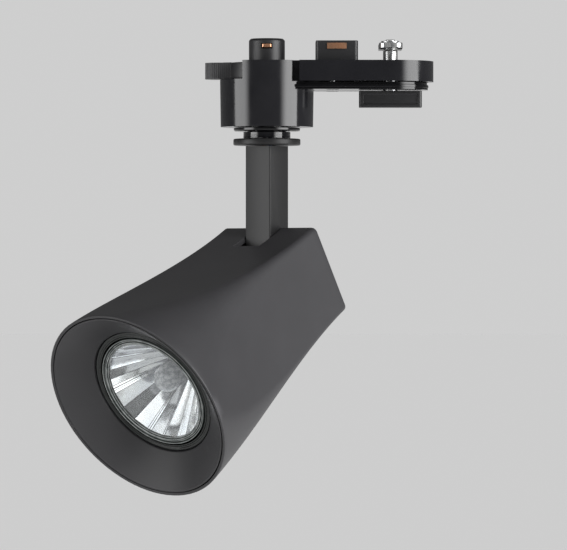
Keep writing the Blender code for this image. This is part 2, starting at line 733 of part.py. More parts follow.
def build_stem_leads(axis, sheath_live, sheath_neutral):
    """Two leads down the stem, past the tilt axle."""
    for name, side, sheath in (
        ("stem_lead_live", -1.0, sheath_live),
        ("stem_lead_neutral", 1.0, sheath_neutral),
    ):
        route = [
            (side * STEM_LEAD_OFFSET, 0.0, SPINDLE_TOP + 1.5 * MM),
            (side * STEM_LEAD_OFFSET, 0.0, FLANGE_BOTTOM - 2.0 * MM),
            (side * STEM_LEAD_OFFSET, -1.2 * MM, FLANGE_BOTTOM - 12.0 * MM),
            (side * STEM_LEAD_OFFSET, -3.6 * MM, PIVOT_Z + 12.0 * MM),
            (side * STEM_LEAD_OFFSET, -3.6 * MM, PIVOT_Z - 4.0 * MM),
        ]
        wire(name, route, STEM_LEAD_RADIUS, sheath, axis)


# ---------------------------------------------------------------- head


def place_in_head(item, tilt_axis):
    """Put a piece drawn in the head frame under the tilt axis."""
    item.parent = tilt_axis
    item.location = (0.0, PIVOT_FROM_REAR, -PIVOT_ABOVE_AXIS)
    item.rotation_euler = (pi / 2, 0.0, 0.0)
    return item


def head_piece(name, shape, material, tilt_axis):
    """A finished piece in the head frame."""
    return place_in_head(finish_mesh(name, shape, material), tilt_axis)


def head_section(along, inward=0.0):
    """The shell's outline at this distance from the rear, moved in by the wall."""
    share = along / HEAD_LENGTH
    half_width = REAR_WIDTH / 2 + (RIM_RADIUS - REAR_WIDTH / 2) * share ** WIDTH_FLARE
    half_height = REAR_HEIGHT / 2 + (RIM_RADIUS - REAR_HEIGHT / 2) * share ** HEIGHT_FLARE
    corner = REAR_CORNER + (RIM_RADIUS - REAR_CORNER) * share ** CORNER_FLARE
    corner = min(corner, half_width, half_height)
    inner_corner = max(corner - inward, INNER_CORNER_LEAST)
    return rounded_rectangle(half_width - inward, half_height - inward, inner_corner, steps=9)


def loft(stations):
    """A closed solid through a list of (z, outline), capped at both ends."""
    shape = bmesh.new()
    rings = []
    for z, outline in stations:
        rings.append([shape.verts.new((x, y, z)) for x, y in outline])
    for lower, upper in zip(rings, rings[1:]):
        for index in range(len(lower)):
            after = (index + 1) % len(lower)
            shape.faces.new((lower[index], lower[after], upper[after], upper[index]))
    shape.faces.new(rings[0])
    shape.faces.new(rings[-1])
    return shape


def build_head_housing(tilt_axis, metal):
    """Die-cast shell: rectangle at the rear, round bell at the front, slot for the stem."""
    outer = [(0.0, head_section(0.0, REAR_CHAMFER)), (REAR_CHAMFER, head_section(REAR_CHAMFER))]
    inner = []
    for step in range(1, SHELL_STEPS + 1):
        along = HEAD_LENGTH * step / SHELL_STEPS
        outer.append((along, head_section(along)))
    for step in range(SHELL_STEPS + 1):
        share = step / SHELL_STEPS
        along = HEAD_WALL + (HEAD_LENGTH - HEAD_WALL) * share
        wall = HEAD_WALL + (RIM_WALL - HEAD_WALL) * share ** 6
        inner.append((along, head_section(along, wall)))
    inner.append((HEAD_LENGTH + MM, head_section(HEAD_LENGTH, RIM_WALL)))
    shell = head_piece("head_housing", loft(outer), metal, tilt_axis)
    cut(shell, loft(inner), "hollow")
    slot = block(
        (-SLOT_WIDTH / 2, SLOT_BOTTOM, -MM), (SLOT_WIDTH / 2, 2 * REAR_HEIGHT, SLOT_LENGTH)
    )
    cut(shell, slot, "stem_slot")
    for index, side in enumerate((-1.0, 1.0)):
        bore = prism(circle(WIDE_SCREW_BORE, segments=FINE_ROUND), 0.0, BRACKET_SCREW[3])
        bore = moved(bore, turn=Matrix.Rotation(-pi / 2, 4, "X"))
        bore = moved(bore, (side * EAR_SCREW_X, ROOF_BORE_START, PIVOT_FROM_REAR))
        cut(shell, bore, "screw_bore_%d" % (index + 1))


def build_tilt_bracket(tilt_axis, steel):
    """Two angle brackets on the shell's roof, one on each side of the stem."""
    low_z = PIVOT_FROM_REAR - EAR_HALF_LENGTH
    high_z = PIVOT_FROM_REAR + EAR_HALF_LENGTH
    for index, side in enumerate((-1.0, 1.0)):
        outline = [
            (side * EAR_INNER, EAR_BOTTOM),
            (side * (EAR_INNER + EAR_THICK), EAR_BOTTOM),
            (side * (EAR_INNER + EAR_THICK), EAR_TOP - EAR_THICK),
            (side * EAR_FLANGE_OUTER, EAR_TOP - EAR_THICK),
            (side * EAR_FLANGE_OUTER, EAR_TOP),
            (side * EAR_INNER, EAR_TOP),
        ]
        name = "tilt_bracket_%d" % (index + 1)
        ear = head_piece(name, prism(outline, low_z, high_z), steel, tilt_axis)
        hole = prism(circle(AXLE_RADIUS + GAP, segments=SMALL_ROUND), 0.0, EAR_DRILL)
        start = side * (EAR_INNER + EAR_THICK / 2) - EAR_DRILL / 2
        hole = along_x(hole, start, (PIVOT_ABOVE_AXIS, PIVOT_FROM_REAR))
        cut(ear, hole, "axle_hole")
        bore = prism(circle(WIDE_SCREW_BORE, segments=FINE_ROUND), 0.0, EAR_DRILL)
        bore = moved(bore, turn=Matrix.Rotation(-pi / 2, 4, "X"))
        place = (side * EAR_SCREW_X, EAR_TOP - 2 * EAR_THICK, PIVOT_FROM_REAR)
        cut(ear, moved(bore, place), "screw_hole")
        screw = pan_head_screw(*BRACKET_SCREW)
        screw = moved(screw, turn=Matrix.Rotation(-pi / 2, 4, "X"))
        place = (side * EAR_SCREW_X, EAR_TOP - EAR_THICK - GAP, PIVOT_FROM_REAR)
        head_piece("bracket_screw_%d" % (index + 1), moved(screw, place), steel, tilt_axis)


def build_tilt_axle(tilt_axis, steel, fibre):
    """Bolt through the ears and the stem, its nut, and two friction washers."""
    head_start = -(EAR_INNER + EAR_THICK + GAP)
    centre = (PIVOT_ABOVE_AXIS, PIVOT_FROM_REAR)
    bolt = pan_head_screw(
        AXLE_HEAD_RADIUS, AXLE_HEAD_LENGTH, AXLE_RADIUS, AXLE_END - head_start
    )
    head_piece("tilt_axle", along_x(bolt, head_start, centre), steel, tilt_axis)
    nut = prism(circle(TILT_NUT_RADIUS, segments=6), 0.0, TILT_NUT_LENGTH)
    nut = head_piece("tilt_nut", along_x(nut, -head_start, centre), steel, tilt_axis)
    bore = prism(circle(AXLE_RADIUS + GAP, segments=SMALL_ROUND), -MM, TILT_NUT_LENGTH + MM)
    cut(nut, along_x(bore, -head_start, centre), "bore")
    for index, start in enumerate((-EAR_INNER + GAP, STEM_WIDTH / 2 + GAP)):
        washer = turned([
            (AXLE_RADIUS + GAP, 0.0),
            (WASHER_RADIUS, 0.0),
            (WASHER_RADIUS, WASHER_THICK),
            (AXLE_RADIUS + GAP, WASHER_THICK),
        ], SMALL_ROUND)
        washer = along_x(washer, start, centre)
        head_piece("friction_washer_%d" % (index + 1), washer, fibre, tilt_axis)


def build_lampholder(tilt_axis, ceramic, steel):
    """Ceramic lampholder with keyhole slots, its plate across the shell, and their screws."""
    face = GLASS_FRONT - LAMP_LENGTH + PIN_LENGTH - GAP
    back = face - HOLDER_LENGTH
    body = turned([
        (0.0, back),
        (HOLDER_RADIUS, back),
        (HOLDER_RADIUS, face - HOLDER_CHAMFER),
        (HOLDER_RADIUS - HOLDER_CHAMFER, face),
        (0.0, face),
    ])
    holder = head_piece("lampholder", body, ceramic, tilt_axis)
    chamber = prism(circle(CHAMBER_RADIUS), back + CHAMBER_WALL, face - HOLDER_FACE)
    cut(holder, chamber, "chamber")
    for index, start in enumerate((0.0, pi)):
        neck = arc_slot(PIN_OFFSET, PIN_NECK_RADIUS + PIN_CLEARANCE, start, start + TWIST)
        cut(holder, prism(neck, face - HOLDER_FACE - MM, face + MM), "pin_slot_%d" % (index + 1))
        entry = (PIN_OFFSET * cos(start + TWIST), PIN_OFFSET * sin(start + TWIST))
        mouth = circle(PIN_HEAD_RADIUS + PIN_CLEARANCE, entry, SMALL_ROUND)
        cut(holder, prism(mouth, face - HOLDER_FACE - MM, face + MM), "pin_mouth_%d" % (index + 1))
        side = 1.0 - 2.0 * index
        bore = circle(SCREW_BORE, (0.0, side * HOLDER_SCREW_Y), FINE_ROUND)
        bore = prism(bore, back - MM, back + HOLDER_BORE_DEPTH)
        cut(holder, bore, "screw_bore_%d" % (index + 1))
    build_holder_plate(tilt_axis, back - GAP, steel)


def build_holder_plate(tilt_axis, plate_front, steel):
    """Strip that carries the lampholder, bent forward along both side walls."""
    plate_back = plate_front - PLATE_THICK
    arm_end = plate_front + PLATE_ARM
    reach = head_section(plate_back, HEAD_WALL)[0][0] - PLATE_CLEARANCE
    inside = reach - PLATE_THICK
    outline = [
        (-reach, plate_back),
        (reach, plate_back),
        (reach, arm_end),
        (inside, arm_end),
        (inside, plate_front),
        (-inside, plate_front),
        (-inside, arm_end),
        (-reach, arm_end),
    ]
    strip = prism(outline, -PLATE_HALF_HEIGHT, PLATE_HALF_HEIGHT)
    strip = moved(strip, turn=Matrix.Rotation(pi / 2, 4, "X"))
    bmesh.ops.scale(strip, vec=(1.0, -1.0, 1.0), verts=strip.verts)
    plate = head_piece("holder_plate", strip, steel, tilt_axis)
    for index, side in enumerate((-1.0, 1.0)):
        window = circle(LEAD_HOLE_RADIUS, (side * LAMP_LEAD_OFFSET, 0.0), FINE_ROUND)
        window = prism(window, plate_back - MM, plate_front + MM)
        cut(plate, window, "lead_hole_%d" % (index + 1))
        bore = circle(WIDE_SCREW_BORE, (0.0, side * HOLDER_SCREW_Y), FINE_ROUND)
        bore = prism(bore, plate_back - MM, plate_front + MM)
        cut(plate, bore, "screw_hole_%d" % (index + 1))
        screw = pan_head_screw(*HOLDER_SCREW)
        screw = moved(screw, (0.0, side * HOLDER_SCREW_Y, plate_back - GAP))
        head_piece("holder_screw_%d" % (index + 1), screw, steel, tilt_axis)


def build_lamp_leads(tilt_axis, sheath_live, sheath_neutral):
    """Two leads from the back of the lampholder towards the end of the stem."""
    back = GLASS_FRONT - LAMP_LENGTH + PIN_LENGTH - HOLDER_LENGTH - 2 * GAP
    for name, side, sheath in (
        ("lamp_lead_live", -1.0, sheath_live),
        ("lamp_lead_neutral", 1.0, sheath_neutral),
    ):
        route = [
            (side * LAMP_LEAD_OFFSET, 0.0, back),
            (side * LAMP_LEAD_OFFSET, -0.5 * MM, back - 5.0 * MM),
            (side * 4.0 * MM, -3.0 * MM, back - 10.0 * MM),
            (side * 3.0 * MM, -6.5 * MM, back - 15.0 * MM),
            (side * 2.4 * MM, -8.0 * MM, back - 19.0 * MM),
        ]
        lead = wire(name, route, LAMP_LEAD_RADIUS, sheath, None)
        place_in_head(lead, tilt_axis)


def build_bezel(tilt_axis, metal, steel):
    """Cone behind the rim, with spring clips on its back."""
    front = HEAD_LENGTH - BEZEL_FRONT
    inner = HEAD_LENGTH - CONE_DEPTH
    cone = turned([
        (BEZEL_RADIUS, front),
        (BEZEL_RADIUS - BEZEL_EDGE, front - BEZEL_EDGE_DEPTH),
        (BEZEL_RADIUS - BEZEL_BACK, front - BEZEL_BACK_DEPTH),
        (CONE_INNER_RADIUS + CONE_INNER_EDGE, inner - BEZEL_WALL),
        (CONE_INNER_RADIUS, inner - BEZEL_WALL),
        (CONE_INNER_RADIUS, inner),
        (BEZEL_RADIUS - BEZEL_LIP, front),
    ])
    head_piece("bezel_cone", cone, metal, tilt_axis)
    for index in range(CLIP_COUNT):
        outline = [(radius, inner + reach) for radius, reach in CLIP_OUTLINE]
        clip = prism(outline, -CLIP_HALF_WIDTH, CLIP_HALF_WIDTH)
        clip = moved(clip, turn=Matrix.Rotation(pi / 2, 4, "X"))
        bearing = pi / 2 + 2 * pi * index / CLIP_COUNT
        clip = moved(clip, turn=Matrix.Rotation(bearing, 4, "Z"))
        head_piece("bezel_clip_%d" % (index + 1), clip, steel, tilt_axis)


def build_lamp_ring(tilt_axis, plastic):
    """Ring that fills the gap between the cone's mouth and the lamp, held by its flange."""
    shoulder = HEAD_LENGTH - CONE_DEPTH - BEZEL_WALL - GAP
    ring = turned([
        (LAMP_RING_BORE, LAMP_RING_BACK),
        (LAMP_RING_FLANGE, LAMP_RING_BACK),
        (LAMP_RING_FLANGE, shoulder),
        (LAMP_RING_BAND, shoulder),
        (LAMP_RING_BAND, LAMP_RING_FRONT),
        (LAMP_RING_BORE, LAMP_RING_FRONT),
    ])
    head_piece("lamp_ring", ring, plastic, tilt_axis)


# ---------------------------------------------------------------- lamp


def build_lamp(axis, glass, mirror, ceramic, brass):
    """Reflector lamp: glass reflector, front glass, capsule, ceramic base and two pins."""
    rim = GLASS_FRONT - GLASS_THICK
    base_back = GLASS_FRONT - LAMP_LENGTH + PIN_LENGTH
    neck = base_back + LAMP_BASE_LENGTH
    bowl_end = rim - RIM_BAND - 2 * GAP
    outer = []
    inner = []
    for step in range(REFLECTOR_STEPS + 1):
        share = step / REFLECTOR_STEPS
        swell = share ** REFLECTOR_CURVE
        z = neck + (bowl_end - neck) * share
        outer.append((REFLECTOR_OUTER_NECK + REFLECTOR_OUTER_SWELL * swell, z))
        wall = REFLECTOR_NECK_WALL * (1.0 - share)
        inner.append((REFLECTOR_INNER_NECK + REFLECTOR_INNER_SWELL * swell, z + wall))
    profile = outer
    profile += [
        (LAMP_RADIUS, rim - RIM_BAND),
        (LAMP_RADIUS, rim - GAP),
        (REFLECTOR_MOUTH, rim - GAP),
    ]
    profile += list(reversed(inner))
    finish_mesh("lamp_reflector", turned(profile), mirror, axis)
    cover = turned([
        (0.0, rim),
        (GLASS_RADIUS, rim),
        (GLASS_RADIUS, GLASS_FRONT - GLASS_CHAMFER),
        (GLASS_RADIUS - GLASS_CHAMFER, GLASS_FRONT),
        (0.0, GLASS_FRONT),
    ])
    finish_mesh("lamp_glass", cover, glass, axis)
    foot = neck + CAPSULE_FOOT
    dome = rim - CAPSULE_DEPTH
    capsule = [(0.0, foot), (CAPSULE_RADIUS, foot), (CAPSULE_RADIUS, dome)]
    for angle in (radians(30.0), radians(60.0)):
        capsule.append((CAPSULE_RADIUS * cos(angle), dome + CAPSULE_RADIUS * sin(angle)))
    capsule.append((0.0, dome + CAPSULE_RADIUS))
    finish_mesh("lamp_capsule", turned(capsule, SMALL_ROUND), glass, axis)
    width = LAMP_BASE_HALF_WIDTH
    height = LAMP_BASE_HALF_HEIGHT
    taper = LAMP_BASE_TAPER
    base = loft([
        (base_back, rounded_rectangle(width - taper, height - 2 * taper, 3.0 * MM)),
        (neck - LAMP_BASE_COLLAR, rounded_rectangle(width, height, 4.0 * MM)),
        (neck - GAP, rounded_rectangle(width, width, width - taper)),
    ])
    finish_mesh("lamp_base", base, ceramic, axis)
    for index, side in enumerate((1.0, -1.0)):
        pin_end = base_back - PIN_LENGTH
        pin = turned([
            (0.0, pin_end),
            (PIN_HEAD_RADIUS - PIN_CHAMFER, pin_end),
            (PIN_HEAD_RADIUS, pin_end + PIN_CHAMFER),
            (PIN_HEAD_RADIUS, pin_end + PIN_HEAD_LENGTH),
            (PIN_NECK_RADIUS, pin_end + PIN_HEAD_LENGTH),
            (PIN_NECK_RADIUS, base_back - GAP),
            (0.0, base_back - GAP),
        ], FINE_ROUND)
        pin = moved(pin, (side * PIN_OFFSET, 0.0, 0.0))
        finish_mesh("lamp_pin_%d" % (index + 1), pin, brass, axis)


def build():
    """Make the whole spotlight."""
    clear_scene()
    gloss_black = make_material("gloss_plastic", (0.012, 0.012, 0.013), 0.18, 0.0)
    matte_black = make_material("matte_plastic", (0.03, 0.03, 0.032), 0.55, 0.0)
    grey_paint = make_material("painted_metal", (0.12, 0.12, 0.125), 0.5, 0.3)
    steel = make_material("steel", (0.55, 0.55, 0.56), 0.35, 1.0)
    copper = make_material("copper", (0.75, 0.42, 0.25), 0.3, 1.0)
    brass = make_material("brass", (0.7, 0.55, 0.3), 0.3, 1.0)
    ceramic = make_material("ceramic", (0.8, 0.78, 0.72), 0.5, 0.0)
    glass = make_material("glass", (0.9, 0.92, 0.93), 0.05, 0.0)
    mirror = make_material("mirror", (0.85, 0.86, 0.88), 0.1, 1.0)
    fibre = make_material("fibre", (0.25, 0.12, 0.06), 0.8, 0.0)
    brown_sheath = make_material("brown_sheath", (0.18, 0.07, 0.03), 0.5, 0.0)
    blue_sheath = make_material("blue_sheath", (0.03, 0.09, 0.35), 0.5, 0.0)

    build_adapter_housing(gloss_black)
    build_arm_cover(gloss_black)
    build_cover_screws(steel)
    build_track_insert(matte_black, copper)
    build_terminal_block(ceramic, steel)
    build_contact_base(matte_black)
    build_pan_bush(gloss_black)

    lever_axis = make_empty("lever_axis", None, (0.0, 0.0, 0.0), (0.0, 0.0, 0.0))
    build_contact_lever(lever_axis, matte_black)
    build_contacts(lever_axis, copper)

    lock_axis = make_empty("lock_axis", None, (LOCK_X, 0.0, 0.0), (0.0, 0.0, 0.0))
    build_lock(lock_axis, matte_black, steel)

    pan_axis = make_empty("pan_axis", None, (0.0, 0.0, 0.0), (0.0, 0.0, -PAN_REST))
    build_pan_spindle(pan_axis, gloss_black)
    build_pan_fasteners(pan_axis, steel)
    build_stem(pan_axis, grey_paint)
    build_stem_leads(pan_axis, brown_sheath, blue_sheath)

    tilt_axis = make_empty("tilt_axis", pan_axis, (0.0, 0.0, PIVOT_Z), (TILT_REST, 0.0, 0.0))
    build_head_housing(tilt_axis, grey_paint)
    build_tilt_bracket(tilt_axis, steel)
    build_tilt_axle(tilt_axis, steel, fibre)
    build_lampholder(tilt_axis, ceramic, steel)
    build_lamp_leads(tilt_axis, brown_sheath, blue_sheath)
    build_bezel(tilt_axis, grey_paint, steel)
    build_lamp_ring(tilt_axis, gloss_black)

    lamp_place = (0.0, PIVOT_FROM_REAR, -PIVOT_ABOVE_AXIS)
    lamp_axis = make_empty("lamp_axis", tilt_axis, lamp_place, (pi / 2, 0.0, 0.0))
    build_lamp(lamp_axis, glass, mirror, ceramic, brass)
    bpy.context.view_layer.update()


build()
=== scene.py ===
"""Track spotlight: the looks.

Every piece is drawn again around the CAD frame, finer and with its real edges: the adapter and
the stem in the row frame, and the head and the lamp in the head frame (X across the head, Y up,
Z along the beam from the centre of the rear face). Lengths are in metres, angles in radians.
"""

import json
import random
from math import cos, pi, radians, sin, sqrt

import bmesh
import bpy
from mathutils import Matrix, Vector

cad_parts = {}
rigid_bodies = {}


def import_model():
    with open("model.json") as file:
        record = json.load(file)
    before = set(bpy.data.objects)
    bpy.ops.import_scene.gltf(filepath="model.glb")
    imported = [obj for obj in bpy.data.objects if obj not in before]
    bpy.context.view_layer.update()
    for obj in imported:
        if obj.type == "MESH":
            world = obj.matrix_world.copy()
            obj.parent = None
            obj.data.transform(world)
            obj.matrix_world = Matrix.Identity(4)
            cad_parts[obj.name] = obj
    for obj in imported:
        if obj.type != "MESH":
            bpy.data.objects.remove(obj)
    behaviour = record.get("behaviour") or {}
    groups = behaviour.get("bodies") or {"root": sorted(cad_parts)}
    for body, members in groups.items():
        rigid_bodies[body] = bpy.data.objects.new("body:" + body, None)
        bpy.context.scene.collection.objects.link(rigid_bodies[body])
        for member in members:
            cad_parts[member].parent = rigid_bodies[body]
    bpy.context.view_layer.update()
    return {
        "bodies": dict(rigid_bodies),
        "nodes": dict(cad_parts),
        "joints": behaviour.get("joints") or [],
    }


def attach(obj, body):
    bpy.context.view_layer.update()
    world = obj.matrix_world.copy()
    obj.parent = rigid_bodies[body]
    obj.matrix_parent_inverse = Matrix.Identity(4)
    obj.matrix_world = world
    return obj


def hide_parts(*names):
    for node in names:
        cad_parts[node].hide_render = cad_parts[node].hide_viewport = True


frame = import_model()

MM = 0.001
GAP = 0.3 * MM
SIDES = (-1.0, 1.0)

# How far a drawn surface stays inside the CAD, and the sizes of broken edges
FINE = 0.15 * MM
TIGHT = 0.1 * MM
TINY = 0.1 * MM
SMALL = 0.2 * MM
EASED = 0.3 * MM
JOINTS = {joint["name"]: joint for joint in frame["joints"]}


# ------------------------------------------------------------------ frames and sizes


def frame_matrix(origin, across, up, forward):
    """A matrix whose columns are three directions and an origin."""
    matrix = Matrix.Identity(4)
    for column, vector in enumerate((across, up, forward, origin)):
        for row in range(3):
            matrix[row][column] = vector[row]
    return matrix


ACROSS = Vector(JOINTS["tilt"]["axis"]).normalized()
BEAM = Vector(JOINTS["lamp_twist"]["axis"]).normalized()
WORLD = Matrix.Identity(4)
HEAD = frame_matrix(JOINTS["lamp_twist"]["pos_m"], ACROSS, BEAM.cross(ACROSS), BEAM)
STEM = frame_matrix((0.0, 0.0, 0.0), ACROSS, Vector((0.0, 0.0, 1.0)).cross(ACROSS), (0.0, 0.0, 1.0))
LOCK = Matrix.Translation(JOINTS["lock_turn"]["pos_m"])


def extent(node, place):
    """Lowest and highest corner of a CAD node in one of the frames above."""
    back = place.inverted()
    points = [back @ vertex.co for vertex in frame["nodes"][node].data.vertices]
    low = Vector([min(point[axis] for point in points) for axis in range(3)])
    high = Vector([max(point[axis] for point in points) for axis in range(3)])
    return low, high


# Adapter
HOUSING_LOW, HOUSING_HIGH = extent("adapter_housing", WORLD)
BARREL_RADIUS = HOUSING_HIGH.y - TIGHT
BARREL_DEPTH = -HOUSING_LOW.z
BARREL_DRAFT = 0.4 * MM
BARREL_FLOOR = 1.8 * MM
CAVITY_RADIUS = 15.0 * MM
RECESS_RADIUS = 16.2 * MM
LEDGE_DEPTH = 9.7 * MM
LEVER_SLOT = (radians(158.0), radians(239.0))
LEVER_SLOT_DEPTH = 7.6 * MM
NOTCH_X = (10.4 * MM, 13.3 * MM)
NOTCH_Y = (13.0 * MM, 24.0 * MM)
NOTCH_DEPTH = 8.6 * MM
ARM_START = 12.0 * MM
ARM_END = HOUSING_HIGH.x
ARM_HALF_WIDTH = 17.8 * MM
ARM_DEPTH = 8.5 * MM
ARM_WALL = 2.0 * MM
ARM_ROOF = 2.2 * MM
ARM_CAVITY_START = 21.0 * MM
INSERT_POCKET = ((19.7 * MM, -8.2 * MM, -0.6 * MM), (42.3 * MM, 8.2 * MM, MM))
COVER_INSET = 2.3 * MM
COVER_STEP = 0.9 * MM
COVER_SEAM_INSET = 2.05 * MM
COVER_SEAM = (0.9 * MM, 1.9 * MM)
COVER_TOP_INSET = 2.6 * MM
COVER_TOP = 1.1 * MM
SINK_RADIUS = 2.7 * MM
SINK_DEPTH = 1.7 * MM
INSERT_CORNER = 1.5 * MM
RIB_GAPS = 5
RIB_PITCH = 3.9 * MM
RIB_GAP = (1.2 * MM, 5.4 * MM, 1.6 * MM)
SPRING_BOW = 0.24 * MM
SPRING_THICK = 0.22 * MM
TERMINAL_SINK = 2.2 * MM
WIRE_MOUTH = 1.3 * MM
WIRE_MOUTH_DEPTH = 3.0 * MM
WIRE_MOUTH_Z = 2.9 * MM
BUSH_INNER = 8.0 * MM
BUSH_OUTER = 9.0 * MM
BUSH_STEP = -27.3 * MM

# Where the pairs of screws sit, and each kind's head radius, head length, shank radius and length
COVER_SCREWS = [(27.0 * MM, side * 9.5 * MM) for side in SIDES]
TERMINAL_SCREWS = [(37.75 * MM, side * 3.8 * MM) for side in SIDES]
HOLDER_SCREWS = [(0.0, side * 6.0 * MM) for side in SIDES]
BRACKET_SCREW_X = 14.0 * MM
COVER_SCREW = (2.4 * MM, 1.4 * MM, 1.2 * MM, 6.2 * MM)
TERMINAL_SCREW = (1.9 * MM, 0.7 * MM, 1.2 * MM, 2.2 * MM)
HOLDER_SCREW = (2.5 * MM, 1.5 * MM, 1.2 * MM, 3.8 * MM)
BRACKET_SCREW = (2.6 * MM, 1.6 * MM, 1.3 * MM, 3.6 * MM)

# Lever and lock
LEVER_TOP = -0.6 * MM
LEVER_BOTTOM = -7.3 * MM
LEVER_HALF_WIDTH = 5.5 * MM
GRIP_START = 12.0 * MM
GRIP_PITCH = 0.8 * MM
GRIP_DEPTH = 0.16 * MM
STUB_RADIUS = 5.0 * MM
DISH_RADIUS = 10.5 * MM
DISH_FLOOR = -1.2 * MM
TOWER_RADIUS = 7.4 * MM
TOWER_CHAMFER = 0.8 * MM
TOWER_GROOVE = (5.0 * MM, 0.6 * MM, 0.9 * MM)
CONTACT_SLOT = ((-2.3 * MM, 3.7 * MM, 5.1 * MM), (2.3 * MM, 9.0 * MM, 7.3 * MM))
CONTACT_CORNER = 0.8 * MM
LOCK_X = LOCK.translation.x
SHAFT_RADIUS = 3.0 * MM
SHAFT_HOLE = 3.3 * MM
SHAFT_SHOULDER = 4.5 * MM
PIN_RADIUS = 2.0 * MM
PIN_HOLE = 2.3 * MM
KNOB_CORNER = 1.1 * MM
KNOB_BORE_FLOOR = -16.0 * MM
FINGER_DEPTH = 0.55 * MM
FINGER_END = 1.6 * MM
FINGER_EDGE = 1.3 * MM
CAM_CORNER = 3.0 * MM
RAMP = ((-8.0 * MM, -1.6 * MM, -1.2 * MM), (8.0 * MM, 4.0 * MM, 0.0))
RAMP_MIRROR = -2.4 * MM
RAMP_REACH = 2.0 * MM
RAMP_TILT = radians(8.0)
CLIP_GAP = 1.2 * MM

# Stem
PIVOT_Z = JOINTS["tilt"]["pos_m"][2]
NECK_RADIUS = 9.7 * MM
NECK_TOP = -29.0 * MM
NECK_RIDGES = 4
FIRST_RIDGE = 0.45 * MM
RIDGE_PITCH = 0.5 * MM
RIDGE_DEPTH = 0.15 * MM
RIDGE_ROUND = 0.08 * MM
SPINDLE_RADIUS = 7.7 * MM
SPINDLE_BORE = 3.5 * MM
PAN_NUT_RADIUS = 11.0 * MM
PAN_NUT_BORE = 7.95 * MM
FLANGE_RADIUS = 13.8 * MM
STEM_WALL = 1.2 * MM
STEM_LEAD_X = 1.6 * MM
STEM_LEAD_RADIUS = 0.8 * MM

# Head
RIM_RADIUS = extent("head_housing", HEAD)[1].x - FINE
HEAD_LENGTH = extent("head_housing", HEAD)[1].z
REAR_HALF_WIDTH = 24.9 * MM
REAR_HALF_HEIGHT = 19.8 * MM
REAR_CORNER = 2.4 * MM
REAR_FILLET = 1.2 * MM
WIDTH_FLARE = 2.5
HEIGHT_FLARE = 1.7
CORNER_FLARE = 3.1
LEAST_CORNER = 0.4 * MM
HEAD_WALL = 2.2 * MM
RIM_WALL = 1.2 * MM
RIM_ROUND = 0.35 * MM
SHELL_STEPS = 44
FILLET_STEPS = 4
RIM_STEPS = 8
SLOT_HALF_WIDTH = 7.05 * MM
SLOT_LENGTH = 17.0 * MM
SLOT_BOTTOM = -1.0 * MM
AXLE_LOW, AXLE_HIGH = extent("tilt_axle", HEAD)
AXLE = ((AXLE_LOW.y + AXLE_HIGH.y) / 2, (AXLE_LOW.z + AXLE_HIGH.z) / 2)
AXLE_RADIUS = 2.4 * MM
AXLE_HOLE = 2.7 * MM
AXLE_HEAD_RADIUS = 4.4 * MM
AXLE_HEAD_LENGTH = 3.0 * MM
TILT_NUT_RADIUS = 4.6 * MM
WASHER_RADIUS = 5.4 * MM
BRACKET_THICK = 1.5 * MM
BRACKET_BEND = 1.6 * MM
PLATE_THICK = 1.4 * MM
PLATE_BEND = 1.2 * MM
PLATE_WINDOW = 2.4 * MM
HEAD_LEAD_X = 4.5 * MM
HEAD_LEAD_RADIUS = 0.9 * MM
TWIST = radians(25.0)
TWIST_SLOT_DEPTH = 8.0 * MM
TWIST_SLOT_RADIUS = 1.6 * MM
PIN_ENTRY_RADIUS = 2.75 * MM
CONE_MOUTH = 28.2 * MM
CONE_LIP = 1.3 * MM
CLIP_HALF_WIDTH = 2.5 * MM
CLIP_OUTLINE = ((30.6, -0.6), (34.6, 2.4), (35.2, -3.0), (34.7, -3.0), (34.2, 1.5), (30.6, -1.2))
RING_BAND = 27.8 * MM
RING_SHOULDER = 95.3 * MM

# Lamp
LAMP_RIM_RADIUS = extent("lamp_reflector", HEAD)[1].x - TIGHT
BOWL_NECK = 7.6 * MM
BOWL_MOUTH = 22.0 * MM
BOWL_DEPTH = 21.5 * MM
BOWL_CURVE = 0.92
BOWL_STEPS = 24
BACK_NECK = 10.5 * MM
BACK_SWELL = 12.6 * MM
BACK_CURVE = 0.62
BACK_STEPS = 16
RIM_INNER = 22.5 * MM
GROOVE_HALF_ANGLE = radians(0.5)
GROOVE_DEPTH = 0.22 * MM
FACET_TILT = 0.035 * MM
GLASS_EDGE = 22.9 * MM
CAPSULE_WALL = 0.75 * MM
PINCH_RADIUS = 2.5 * MM
PINCH_STEPS = 6
HOLLOW_FOOT = 1.5 * MM
DOME_STEPS = 12
COIL_TURNS = 9
COIL_STEPS = 12
COIL_RADIUS = 0.55 * MM
COIL_HALF_LENGTH = 2.6 * MM
LAMP_PIN_X = 5.0 * MM
LAMP_PIN_RADIUS = 2.4 * MM
LAMP_PIN_NECK = 1.25 * MM

# Ridges on the lamp's rim: how far in, how far down and how thick, in millimetres
RIM_RIDGES = ((0.45, 0.12, 0.13), (1.3, 0.75, 0.15), (2.0, 0.42, 0.16), (2.75, 0.95, 0.26))


# ------------------------------------------------------------------ outlines and solids


def arc(centre, radius, start, end, steps):
    """Points along an arc, both ends included."""
    points = []
    for step in range(steps + 1):
        angle = start + (end - start) * step / steps
        points.append((centre[0] + radius * cos(angle), centre[1] + radius * sin(angle)))
    return points


def circle(radius, centre=(0.0, 0.0), segments=96):
    """A circle's outline."""
    return arc(centre, radius, 0.0, 2.0 * pi * (segments - 1) / segments, segments - 1)


def rounded_rectangle(half_width, half_height, corner, centre=(0.0, 0.0), steps=8):
    """A rectangle's outline with round corners, counterclockwise from its right side."""
    points = []
    for quarter, (side_x, side_y) in enumerate(((1, 1), (-1, 1), (-1, -1), (1, -1))):
        middle = (
            centre[0] + side_x * (half_width - corner),
            centre[1] + side_y * (half_height - corner),
        )
        points += arc(middle, corner, quarter * pi / 2, (quarter + 1) * pi / 2, steps)
    return points


